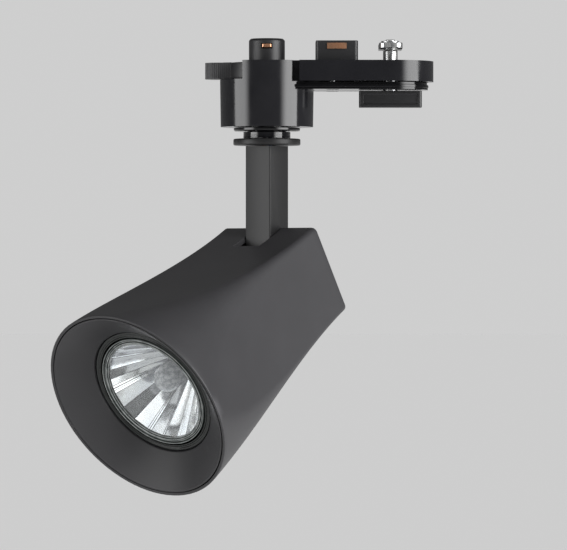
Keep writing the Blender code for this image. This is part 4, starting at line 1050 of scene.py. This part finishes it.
def build_stem():
    """Flange, square tube with the tilt bolt's hole, and the leads in it."""
    low, high = extent("stem_flange", STEM)
    corners = [
        (SPINDLE_BORE, low.z), (FLANGE_RADIUS, low.z, 0.6 * MM),
        (FLANGE_RADIUS, high.z, 0.6 * MM), (SPINDLE_BORE, high.z),
    ]
    detail("stem_flange", turned(rounded_profile(corners), 128), STEM_GREY, "stem", STEM)
    low, high = extent("stem_tube", STEM)
    tube = prism(rounded_rectangle(high.x, high.y, 0.45 * MM, steps=4), low.z, high.z)
    inside = rounded_rectangle(high.x - STEM_WALL, high.y - STEM_WALL, EASED, steps=3)
    axle = prism(circle(AXLE_HOLE, segments=48), 0.0, 30.0 * MM)
    cuts = [prism(inside, low.z - MM, high.z + MM), along_x(axle, -15.0 * MM, (0.0, PIVOT_Z))]
    detail("stem_tube", tube, STEM_GREY, "stem", STEM, cuts=cuts)
    x = STEM_LEAD_X
    route = [
        (x, 0.0, -13.0 * MM),
        (x, 0.0, -36.5 * MM),
        (x, -1.2 * MM, -46.5 * MM),
        (x, -3.6 * MM, PIVOT_Z + 12.0 * MM),
        (x, -3.6 * MM, PIVOT_Z - 4.0 * MM),
    ]
    add_leads("stem_lead", route, STEM_LEAD_RADIUS, "stem", STEM)


# ------------------------------------------------------------------ head


def head_ring(z, inward):
    """One ring of the shell at this distance from the rear, moved in by the wall."""
    share = min(z / HEAD_LENGTH, 1.0)
    half_width = REAR_HALF_WIDTH + (RIM_RADIUS - REAR_HALF_WIDTH) * share ** WIDTH_FLARE
    half_height = REAR_HALF_HEIGHT + (RIM_RADIUS - REAR_HALF_HEIGHT) * share ** HEIGHT_FLARE
    corner = REAR_CORNER + (RIM_RADIUS - REAR_CORNER) * share ** CORNER_FLARE
    corner = max(min(corner, half_width, half_height) - inward, LEAST_CORNER)
    outline = rounded_rectangle(half_width - inward, half_height - inward, corner, steps=20)
    return [(x, y, z) for x, y in outline]


def build_head_shell():
    """Die-cast shell: one skin out over the rim and back inside, with the stem's slot cut in."""
    rings = []
    for step in range(FILLET_STEPS, 0, -1):
        angle = pi / 2 * step / FILLET_STEPS
        rings.append(head_ring(REAR_FILLET * (1.0 - sin(angle)), REAR_FILLET * (1.0 - cos(angle))))
    front = HEAD_LENGTH - RIM_ROUND
    for step in range(SHELL_STEPS + 1):
        rings.append(head_ring(REAR_FILLET + (front - REAR_FILLET) * step / SHELL_STEPS, 0.0))
    for step in range(1, RIM_STEPS + 1):
        angle = pi * step / RIM_STEPS
        rings.append(head_ring(front + RIM_ROUND * sin(angle), RIM_WALL / 2 * (1.0 - cos(angle))))
    for step in range(1, SHELL_STEPS + 1):
        share = 1.0 - step / SHELL_STEPS
        wall = HEAD_WALL + (RIM_WALL - HEAD_WALL) * share ** 6
        rings.append(head_ring(HEAD_WALL + (front - HEAD_WALL) * share, wall))
    rear = (-SLOT_HALF_WIDTH, SLOT_BOTTOM, -5.0 * MM)
    slot = block(rear, (SLOT_HALF_WIDTH, 80.0 * MM, SLOT_LENGTH))
    piece(
        "head_shell", loft(rings), GREY, "head", ["head_housing"], HEAD,
        cuts=[slot], bevel=EASED, smooth=40.0,
    )


def build_brackets():
    """Angle brackets that hold the tilt bolt, and the screws that fix them to the shell."""
    for index, side in enumerate(SIDES):
        name = "tilt_bracket_%d" % (index + 1)
        low, high = extent(name, HEAD)
        inner, outer = sorted((abs(low.x), abs(high.x)))
        underside = high.y - BRACKET_THICK
        centre = (side * (inner + BRACKET_THICK + BRACKET_BEND), underside - BRACKET_BEND)
        start = pi if side > 0.0 else 0.0
        outline = [(side * inner, low.y), (side * (inner + BRACKET_THICK), low.y)]
        outline += arc(centre, BRACKET_BEND, start, pi / 2, 6)
        outline += [(side * outer, underside), (side * outer, high.y)]
        outline += arc(centre, BRACKET_BEND + BRACKET_THICK, pi / 2, start, 8)
        axle = prism(circle(AXLE_HOLE, segments=48), 0.0, 4.0 * MM)
        axle = along_x(axle, side * (inner + BRACKET_THICK / 2) - 2.0 * MM, AXLE)
        detail(name, prism(outline, low.z, high.z), STEEL, "head", HEAD, cuts=[axle], bevel=SMALL)
        offset = (side * BRACKET_SCREW_X, underside - GAP, AXLE[1])
        upright = Matrix.Rotation(-pi / 2, 4, "X")
        add_screw("bracket_screw_%d" % (index + 1), BRACKET_SCREW, offset, upright, "head", HEAD)


def build_tilt_bolt():
    """The tilt bolt, its nut and the friction washers."""
    start = AXLE_LOW.x + AXLE_HEAD_LENGTH
    length = AXLE_HIGH.x - AXLE_LOW.x - AXLE_HEAD_LENGTH
    bolt, recess = screw_shapes(AXLE_HEAD_RADIUS, AXLE_HEAD_LENGTH, AXLE_RADIUS, length)
    cuts = [along_x(tool, start, AXLE) for tool in recess]
    detail("tilt_axle", along_x(bolt, start, AXLE), STEEL, "head", HEAD, cuts=cuts)
    low, high = extent("tilt_nut", HEAD)
    nut = prism(circle(TILT_NUT_RADIUS, segments=6), 0.0, high.x - low.x)
    bore = along_x(prism(circle(AXLE_RADIUS + TINY, segments=48), -MM, 6.0 * MM), low.x, AXLE)
    nut = along_x(nut, low.x, AXLE)
    detail("tilt_nut", nut, STEEL, "head", HEAD, cuts=[bore], bevel=EASED)
    for name in ("friction_washer_1", "friction_washer_2"):
        low, high = extent(name, HEAD)
        ring = washer_shape(AXLE_HOLE, WASHER_RADIUS, 0.0, high.x - low.x, 64)
        detail(name, along_x(ring, low.x, AXLE), FIBRE, "head", HEAD)


def build_lampholder():
    """Ceramic lampholder with a twist slot for each pin."""
    low, high = extent("lampholder", HEAD)
    corners = [(0.0, low.z), (high.x, low.z), (high.x, high.z, MM), (0.0, high.z)]
    floor = high.z - TWIST_SLOT_DEPTH
    steps = 5
    cuts = []
    for start in (0.0, pi):
        for step in range(steps + 1):
            angle = start + TWIST * step / steps
            centre = (LAMP_PIN_X * cos(angle), LAMP_PIN_X * sin(angle))
            cuts.append(prism(circle(TWIST_SLOT_RADIUS, centre, 24), floor, high.z + MM))
        cuts.append(prism(circle(PIN_ENTRY_RADIUS, centre, 32), floor, high.z + MM))
    holder = turned(rounded_profile(corners, 0.5 * MM))
    detail("lampholder", holder, CERAMIC, "head", HEAD, cuts=cuts, smooth=40.0)


def build_holder_plate():
    """The bent plate that carries the lampholder, its screws and the lamp's leads."""
    low, high = extent("holder_plate", HEAD)
    outer = [(low.x, high.z), (low.x, low.z), (high.x, low.z), (high.x, high.z)]
    inner = [(high.x - PLATE_THICK, high.z), (high.x - PLATE_THICK, low.z + PLATE_THICK)]
    inner += [(low.x + PLATE_THICK, low.z + PLATE_THICK), (low.x + PLATE_THICK, high.z)]
    # A profile has to stay clear of the axis, so the strip is drawn away from it and moved back
    away = 1.0
    corners = []
    for x, z in outer + inner:
        corners.append((x + away, z, PLATE_BEND if z < high.z - MM else 0.0))
    strip = moved(prism(rounded_profile(corners), low.y, high.y), (-away, 0.0, 0.0))
    swap = Matrix(((1, 0, 0, 0), (0, 0, 1, 0), (0, 1, 0, 0), (0, 0, 0, 1)))
    bmesh.ops.transform(strip, matrix=swap, verts=strip.verts)
    bmesh.ops.recalc_face_normals(strip, faces=strip.faces)
    cuts = []
    for side in SIDES:
        window = circle(PLATE_WINDOW, (side * HEAD_LEAD_X, 0.0), 32)
        cuts.append(prism(window, low.z - MM, low.z + PLATE_THICK + MM))
    detail("holder_plate", strip, STEEL, "head", HEAD, cuts=cuts, bevel=SMALL)
    add_upright_screws("holder_screw", HOLDER_SCREW, HOLDER_SCREWS, "head", HEAD)
    back = extent("lampholder", HEAD)[0].z - GAP
    route = [
        (HEAD_LEAD_X, 0.0, back),
        (HEAD_LEAD_X, -0.5 * MM, back - 5.0 * MM),
        (4.0 * MM, -3.0 * MM, back - 10.0 * MM),
        (3.0 * MM, -6.5 * MM, back - 15.0 * MM),
        (2.4 * MM, -8.0 * MM, back - 19.0 * MM),
    ]
    add_leads("lamp_lead", route, HEAD_LEAD_RADIUS, "head", HEAD)


def build_bezel():
    """Cone with a rolled lip at each edge, and its spring clips."""
    low, high = extent("bezel_cone", HEAD)
    front = high.z
    lip = low.z + CONE_LIP
    outer = high.x - FINE
    corners = [
        (outer, front, 0.25 * MM), (outer - 0.8 * MM, front - 1.2 * MM),
        (outer - 2.4 * MM, front - 2.6 * MM), (CONE_MOUTH + 0.9 * MM, low.z, EASED),
        (CONE_MOUTH, low.z, SMALL), (CONE_MOUTH, lip, 0.35 * MM),
        (outer - 0.55 * MM, front, EASED),
    ]
    cone = turned(rounded_profile(corners, EASED, 4), 192)
    detail("bezel_cone", cone, GREY, "head", HEAD)
    outline = [(x * MM, lip + z * MM) for x, z in CLIP_OUTLINE]
    for index in range(3):
        clip = prism(rounded_profile(outline, 0.4 * MM), -CLIP_HALF_WIDTH, CLIP_HALF_WIDTH)
        clip = moved(clip, turn=Matrix.Rotation(pi / 2, 4, "X"))
        clip = moved(clip, turn=Matrix.Rotation(pi / 2 + 2 * pi * index / 3, 4, "Z"))
        detail("bezel_clip_%d" % (index + 1), clip, STEEL, "head", HEAD)


def build_lamp_ring():
    """The ring between the lamp and the cone's mouth, with a shallow groove round its face."""
    low, high = extent("lamp_ring", HEAD)
    bore = LAMP_RIM_RADIUS + 0.5 * MM
    outer = high.x - FINE
    crown = high.z - 0.05 * MM
    groove = high.z - 0.35 * MM
    corners = [
        (bore, low.z), (outer, low.z), (outer, RING_SHOULDER), (RING_BAND, RING_SHOULDER, TINY),
        (RING_BAND, high.z, 0.35 * MM), (RING_BAND - 0.9 * MM, crown, SMALL),
        (RING_BAND - 1.1 * MM, groove, SMALL), (bore + 0.7 * MM, groove, SMALL),
        (bore + 0.5 * MM, crown, SMALL), (bore, high.z, SMALL),
    ]
    detail("lamp_ring", turned(rounded_profile(corners, SMALL, 4), 192), RING, "head", HEAD)


# ------------------------------------------------------------------ lamp


def bowl_columns():
    """The bowl's columns as (angle, offset, groove): wide facets, and groups of narrow ones."""
    draw = random.Random(11)
    angles = []
    angle = radians(-3.0)
    while angle < radians(350.0):
        for line in range(draw.choice((1, 1, 2, 3, 4))):
            angles.append(angle)
            angle += radians(draw.uniform(1.9, 3.4))
        angle += radians(draw.uniform(6.0, 15.0))
    columns = []
    for angle in angles:
        step = draw.uniform(-1.0, 1.0) * FACET_TILT
        width = GROOVE_HALF_ANGLE * draw.uniform(0.5, 1.3)
        columns.append((angle - width, step, False))
        columns.append((angle, GROOVE_DEPTH, True))
        columns.append((angle + width, -step, False))
    return columns


def build_reflector():
    """Glass reflector: flat radial facets with grooves between them, smooth on the outside."""
    low, high = extent("lamp_reflector", HEAD)
    columns = bowl_columns()
    angles = [column[0] for column in columns]
    grooves = [column[2] for column in columns]
    mouth = high.z - 0.3 * MM

    def round_ring(radius, z):
        return [(radius * cos(angle), radius * sin(angle), z) for angle in angles]

    rings = [round_ring(BOWL_NECK - 0.3 * MM, low.z + 1.5 * MM)]
    for step in range(BOWL_STEPS + 1):
        share = step / BOWL_STEPS
        plain = BOWL_NECK + (BOWL_MOUTH - BOWL_NECK) * share ** BOWL_CURVE
        z = mouth - BOWL_DEPTH * (1.0 - share)
        ring = []
        for column in columns:
            angle = column[0]
            radius = plain + column[1] * (0.4 + 0.6 * share)
            ring.append((radius * cos(angle), radius * sin(angle), z))
        rings.append(ring)
    rings.append(round_ring(BOWL_MOUTH + 0.35 * MM, mouth))
    rings.append(round_ring(BOWL_MOUTH + 0.6 * MM, mouth - 0.8 * MM))
    shoulder = mouth - 2.4 * MM
    for step in range(BACK_STEPS + 1):
        share = 1.0 - step / BACK_STEPS
        outside = BACK_NECK + BACK_SWELL * share ** BACK_CURVE
        rings.append(round_ring(outside, low.z + (shoulder - low.z) * share))
    shape = loft(rings, closed=True)
    bowl = piece("reflector_detail", shape, MIRROR, "lamp", ["lamp_reflector"], HEAD, smooth=3.0)
    # The faces along each groove take the dark coating: painted shade in the grooves.
    bowl.data.materials.append(GROOVE_SHADE)
    count = len(columns)
    for face in bowl.data.polygons:
        ring, index = divmod(face.index, count)
        if ring <= BOWL_STEPS and (grooves[index] or grooves[(index + 1) % count]):
            face.material_index = 1


def build_lamp_rim():
    """Stepped moulded glass rim of the lamp, with fine ridges coloured pale as a painted highlight.
    """
    top = extent("lamp_reflector", HEAD)[1].z
    front = extent("lamp_glass", HEAD)[1].z
    outer = LAMP_RIM_RADIUS
    corners = [
        (RIM_INNER, top - 2.6 * MM), (outer - 0.2 * MM, top - 2.6 * MM, EASED),
        (outer, top - 0.2 * MM, EASED), (outer - 0.1 * MM, front - 0.35 * MM, EASED),
        (outer - 0.75 * MM, front - 0.1 * MM, EASED), (outer - 1.0 * MM, front - 0.8 * MM, SMALL),
        (outer - 1.7 * MM, front - 0.85 * MM, SMALL), (outer - 1.8 * MM, front - 0.5 * MM, FINE),
        (outer - 2.2 * MM, front - 0.5 * MM, FINE), (outer - 2.35 * MM, front - 1.1 * MM, FINE),
        (RIM_INNER, top - 0.3 * MM, TINY),
    ]
    rim = turned(rounded_profile(corners, SMALL, 4), 192)
    piece("lamp_rim_moulding", rim, RIM_GLASS, "lamp", [], HEAD, smooth=50.0)
    # Each ridge is a bead in a pale colour: a painted highlight line.
    for index, (inward, down, thick) in enumerate(RIM_RIDGES):
        radius = outer - inward * MM
        z = front - down * MM
        bead = turned([(radius + x, z + y) for x, y in circle(thick * MM, segments=12)], 192)
        piece("lamp_rim_ridge_%d" % (index + 1), bead, PAINTED_RIM_HIGHLIGHT, "lamp", [], HEAD, smooth=60.0)


def build_front_glass():
    """The lamp's front glass, slightly domed."""
    low, high = extent("lamp_glass", HEAD)
    foot = low.z + 0.1 * MM
    face = high.z - 0.6 * MM
    dome = [
        (0.0, foot), (GLASS_EDGE - 0.3 * MM, foot), (GLASS_EDGE, low.z + 0.3 * MM),
        (GLASS_EDGE, face - 0.25 * MM), (GLASS_EDGE - 0.25 * MM, face),
        (12.0 * MM, face + 0.1 * MM), (0.0, face + 0.15 * MM),
    ]
    piece("front_glass", turned(dome, 192), GLASS, "lamp", ["lamp_glass"], HEAD, smooth=8.0)


def build_capsule():
    """Quartz capsule with a round dome and a pinched foot, hollow inside."""
    low, high = extent("lamp_capsule", HEAD)
    radius = high.x
    inner = radius - CAPSULE_WALL
    dome = high.z - radius
    pinch = low.z + 3.0 * MM
    shoulder = low.z + 7.0 * MM
    profile = [(0.0, low.z), (2.2 * MM, low.z), (PINCH_RADIUS, pinch)]
    for step in range(1, PINCH_STEPS + 1):
        share = step / PINCH_STEPS
        swell = PINCH_RADIUS + (radius - PINCH_RADIUS) * sin(share * pi / 2)
        profile.append((swell, pinch + (shoulder - pinch) * share))
    hollow = [(0.0, high.z - CAPSULE_WALL)]
    for step in range(DOME_STEPS):
        angle = pi / 2 * step / DOME_STEPS
        profile.append((radius * cos(angle), dome + radius * sin(angle)))
    profile.append((0.0, high.z))
    for step in range(DOME_STEPS - 1, -1, -1):
        angle = pi / 2 * step / DOME_STEPS
        hollow.append((inner * cos(angle), dome + inner * sin(angle)))
    for step in range(PINCH_STEPS - 1, -1, -1):
        share = step / PINCH_STEPS
        swell = HOLLOW_FOOT + (inner - HOLLOW_FOOT) * sin(share * pi / 2)
        hollow.append((swell, shoulder - (1.0 - share) * 3.0 * MM))
    hollow.append((0.0, shoulder - 3.4 * MM))
    hollow.reverse()
    piece(
        "capsule_bulb", turned(profile, 64), QUARTZ, "lamp", ["lamp_capsule"], HEAD,
        cuts=[turned(hollow, 64)], smooth=60.0,
    )


def build_filament():
    """Filament coil, its posts and support, and the foil in the capsule's pinch."""
    low, high = extent("lamp_capsule", HEAD)
    coil = high.z - 5.2 * MM
    turns = []
    steps = COIL_TURNS * COIL_STEPS
    for step in range(steps + 1):
        angle = 2 * pi * step / COIL_STEPS
        x = COIL_HALF_LENGTH * (2.0 * step / steps - 1.0)
        turns.append((x, COIL_RADIUS * cos(angle), coil + COIL_RADIUS * sin(angle)))
    wire("filament_coil", turns, 0.17 * MM, TUNGSTEN, "lamp", [], HEAD)
    for index, side in enumerate(SIDES):
        post = [
            (side * COIL_HALF_LENGTH, 0.0, coil), (side * 2.9 * MM, 0.3 * MM, coil - 2.5 * MM),
            (side * 1.3 * MM, 0.0, low.z + 7.5 * MM), (side * 1.1 * MM, 0.0, low.z + 3.0 * MM),
        ]
        wire("filament_post_%d" % (index + 1), post, 0.24 * MM, TUNGSTEN, "lamp", [], HEAD)
    foot = low.z + 4.0 * MM
    knee = coil - 1.0 * MM
    support = [
        (-1.2 * MM, 1.6 * MM, foot), (-1.4 * MM, 1.9 * MM, knee), (0.0, 1.2 * MM, coil + 0.9 * MM),
        (1.4 * MM, 1.9 * MM, knee), (1.2 * MM, 1.6 * MM, foot),
    ]
    wire("filament_support", support, 0.2 * MM, TUNGSTEN, "lamp", [], HEAD)
    foil = block((-1.7 * MM, -FINE, low.z + 0.5 * MM), (1.7 * MM, FINE, low.z + 3.2 * MM))
    piece("capsule_foil", foil, TUNGSTEN, "lamp", [], HEAD, bevel=0.05 * MM)


def build_lamp_base():
    """Ceramic base that flares towards the bowl, and the two pins."""
    low, high = extent("lamp_base", HEAD)
    steps = 12
    rings = []
    for step in range(steps + 1):
        share = step / steps
        flare = max(0.0, (share - 0.65) / 0.35)
        half_height = (7.2 + 0.8 * share + 2.4 * flare) * MM
        corner = (3.0 + share + 6.0 * flare) * MM
        outline = rounded_rectangle((10.0 + 0.4 * share) * MM, half_height, corner, steps=10)
        rings.append([(x, y, low.z + (high.z - low.z) * share) for x, y in outline])
    grooves = []
    for index in range(3):
        z = low.z + (4.0 + 3.0 * index) * MM
        grooves += mirrored_blocks((-6.0 * MM, 7.2 * MM, z), (6.0 * MM, 9.5 * MM, z + 1.2 * MM))
    detail("lamp_base", loft(rings), CERAMIC, "lamp", HEAD, cuts=grooves, bevel=EASED)
    for index, side in enumerate((1.0, -1.0)):
        name = "lamp_pin_%d" % (index + 1)
        low, high = extent(name, HEAD)
        neck = low.z + 3.2 * MM
        corners = [
            (0.0, low.z), (LAMP_PIN_RADIUS, low.z, 0.6 * MM), (LAMP_PIN_RADIUS, neck, EASED),
            (LAMP_PIN_NECK, neck, TINY), (LAMP_PIN_NECK, high.z), (0.0, high.z),
        ]
        pin = moved(turned(rounded_profile(corners), 48), (side * LAMP_PIN_X, 0.0, 0.0))
        detail(name, pin, BRASS, "lamp", HEAD)


# ------------------------------------------------------------------ studio


CAMERA_DISTANCE = 2.0
PIXELS_PER_METRE = 2430.0
PAN_AXIS_OFFSET = 6.83 * MM
CAMERA_HEIGHT = -87.8 * MM
IMAGE_WIDTH = 567.0
FLOOR_Z = -0.6
FLOOR_HALF_SIZE = 40.0
FLOOR_LIGHT = 2.14
BACKDROP = 0.62
WORLD_FRONT = 0.03
WORLD_BACK = 0.14
LIGHT_TARGET = Vector((0.0, 0.0, -80.0 * MM))

# Softbox places as azimuth, elevation, distance, width and height
RIGHT = (55.0, 9.0, 1.2, 1.1, 1.0)
LEFT = (-63.0, 0.0, 1.2, 1.0, 0.7)
RIGHT_FADE = 0.45
LEFT_FADE = 0.4


def build_camera():
    """A level camera two metres in front, with a long lens."""
    data = bpy.data.cameras.new("camera")
    data.sensor_width = 36.0
    data.lens = data.sensor_width * PIXELS_PER_METRE * CAMERA_DISTANCE / IMAGE_WIDTH
    camera = bpy.data.objects.new("camera", data)
    bpy.context.scene.collection.objects.link(camera)
    camera.location = (PAN_AXIS_OFFSET, -CAMERA_DISTANCE, CAMERA_HEIGHT)
    camera.rotation_euler = (pi / 2, 0.0, 0.0)
    bpy.context.scene.camera = camera


def light_only(light, items):
    """Let a light reach only these objects."""
    receivers = bpy.data.collections.new(light.name + "_receivers")
    for item in items:
        receivers.objects.link(item)
    light.light_linking.receiver_collection = receivers


def build_floor():
    """A plain pale floor with its own soft light, so that it stays pale under a dark object."""
    reach = FLOOR_HALF_SIZE
    floor = link_mesh("floor", block((-reach, -reach, FLOOR_Z - 0.01), (reach, reach, FLOOR_Z)))
    look = bpy.data.materials.new("floor_paper")
    look.use_nodes = True
    shader = look.node_tree.nodes["Principled BSDF"]
    shader.inputs["Base Color"].default_value = (0.8, 0.8, 0.8, 1.0)
    shader.inputs["Roughness"].default_value = 0.95
    shader.inputs["Specular IOR Level"].default_value = 0.0
    floor.data.materials.append(look)
    data = bpy.data.lights.new("floor_light", "SUN")
    data.energy = FLOOR_LIGHT
    data.angle = radians(120.0)
    light = bpy.data.objects.new("floor_light", data)
    bpy.context.scene.collection.objects.link(light)
    light_only(light, [floor])


def softbox(name, items, place, radiance, fade=0.0):
    """A rectangular light that faces the object; azimuth 0 is the camera's side, 90 the right.

    It lights only the items. fade is the share of its width over which it dims towards the
    camera's side.
    """
    azimuth, elevation, distance, width, height = place
    data = bpy.data.lights.new(name, "AREA")
    data.shape = "RECTANGLE"
    data.size = width
    data.size_y = height
    data.energy = radiance * pi * width * height
    light = bpy.data.objects.new(name, data)
    bpy.context.scene.collection.objects.link(light)
    side = radians(azimuth)
    rise = radians(elevation)
    away = Vector((sin(side) * cos(rise), -cos(side) * cos(rise), sin(rise)))
    light.location = LIGHT_TARGET + away * distance
    light.rotation_mode = "QUATERNION"
    light.rotation_quaternion = away.to_track_quat("Z", "Y")
    light_only(light, items)
    if fade:
        data.use_nodes = True
        nodes = data.node_tree.nodes
        links = data.node_tree.links
        geometry = nodes.new("ShaderNodeNewGeometry")
        split = nodes.new("ShaderNodeSeparateXYZ")
        links.new(geometry.outputs["Parametric"], split.inputs["Vector"])
        ramp = nodes.new("ShaderNodeMapRange")
        ramp.interpolation_type = "SMOOTHSTEP"
        towards_camera = azimuth > 0.0
        ramp.inputs["From Min"].default_value = 0.0 if towards_camera else 1.0
        ramp.inputs["From Max"].default_value = fade if towards_camera else 1.0 - fade
        links.new(split.outputs["X"], ramp.inputs["Value"])
        links.new(ramp.outputs["Result"], nodes["Emission"].inputs["Strength"])


def build_lights():
    """Soft lights, each linked to the pieces whose highlights it makes."""
    barrel = PIECES["adapter"] + PIECES["contact_lever"] + PIECES["lock"]
    neck = [item for item in PIECES["stem"] if item.name == "neck_and_spindle"]
    stem = [item for item in PIECES["stem"] if item.name != "neck_and_spindle"]
    head = PIECES["head"]
    lamp = PIECES["lamp"]
    softbox("right_softbox", barrel, RIGHT, 7.0, RIGHT_FADE)
    softbox("head_right_softbox", head, (42.0, 3.0, 1.2, 0.5, 0.9), 20.5, RIGHT_FADE)
    softbox("left_softbox", barrel, LEFT, 5.0, LEFT_FADE)
    softbox("neck_left_softbox", neck, LEFT, 16.0, LEFT_FADE)
    softbox("neck_right_softbox", neck, RIGHT, 20.0, RIGHT_FADE)
    softbox("left_fill", head, LEFT, 2.2, LEFT_FADE)
    softbox("stem_right_softbox", stem, RIGHT, 4.0, RIGHT_FADE)
    softbox("stem_left_softbox", stem, LEFT, 2.8, LEFT_FADE)
    softbox("front_softbox", barrel + head + stem, (-12.0, 42.0, 1.3, 1.5, 0.8), 0.8)
    softbox("lamp_left_card", lamp, (-68.0, 38.0, 0.8, 2.9, 1.6), 1.45)
    softbox("lamp_low_card", lamp, (55.0, -40.0, 0.4, 0.42, 0.56), 1.6)
    softbox("lamp_under_card", lamp, (100.0, -60.0, 0.4, 0.5, 0.4), 1.8)
    softbox("lamp_right_softbox", lamp, (75.0, 20.0, 1.2, 1.1, 1.0), 3.0)


def build_world():
    """Pale to the camera; to the object, dim all round and darker in front."""
    world = bpy.data.worlds.new("studio")
    world.use_nodes = True
    bpy.context.scene.world = world
    nodes = world.node_tree.nodes
    links = world.node_tree.links
    coordinates = nodes.new("ShaderNodeTexCoord")
    split = nodes.new("ShaderNodeSeparateXYZ")
    links.new(coordinates.outputs["Generated"], split.inputs["Vector"])
    behind = nodes.new("ShaderNodeMapRange")
    behind.inputs["From Min"].default_value = -0.6
    behind.inputs["From Max"].default_value = 0.6
    behind.inputs["To Min"].default_value = WORLD_FRONT
    behind.inputs["To Max"].default_value = WORLD_BACK
    links.new(split.outputs["Y"], behind.inputs["Value"])
    path = nodes.new("ShaderNodeLightPath")
    seen = nodes.new("ShaderNodeMix")
    links.new(path.outputs["Is Camera Ray"], seen.inputs["Factor"])
    links.new(behind.outputs["Result"], seen.inputs["A"])
    seen.inputs["B"].default_value = BACKDROP
    background = nodes["Background"]
    background.inputs["Color"].default_value = (1.0, 1.0, 1.0, 1.0)
    links.new(seen.outputs["Result"], background.inputs["Strength"])


build_adapter_housing()
build_arm_cover()
build_track_insert()
build_earth_contact()
build_inner_adapter()
build_contact_lever()
build_lock_knob()
build_lock_shaft()
build_spindle()
build_stem()
build_head_shell()
build_brackets()
build_tilt_bolt()
build_lampholder()
build_holder_plate()
build_bezel()
build_lamp_ring()
build_reflector()
build_lamp_rim()
build_front_glass()
build_capsule()
build_filament()
build_lamp_base()
build_camera()
build_floor()
build_lights()
build_world()
bpy.context.scene.view_settings.view_transform = "Standard"
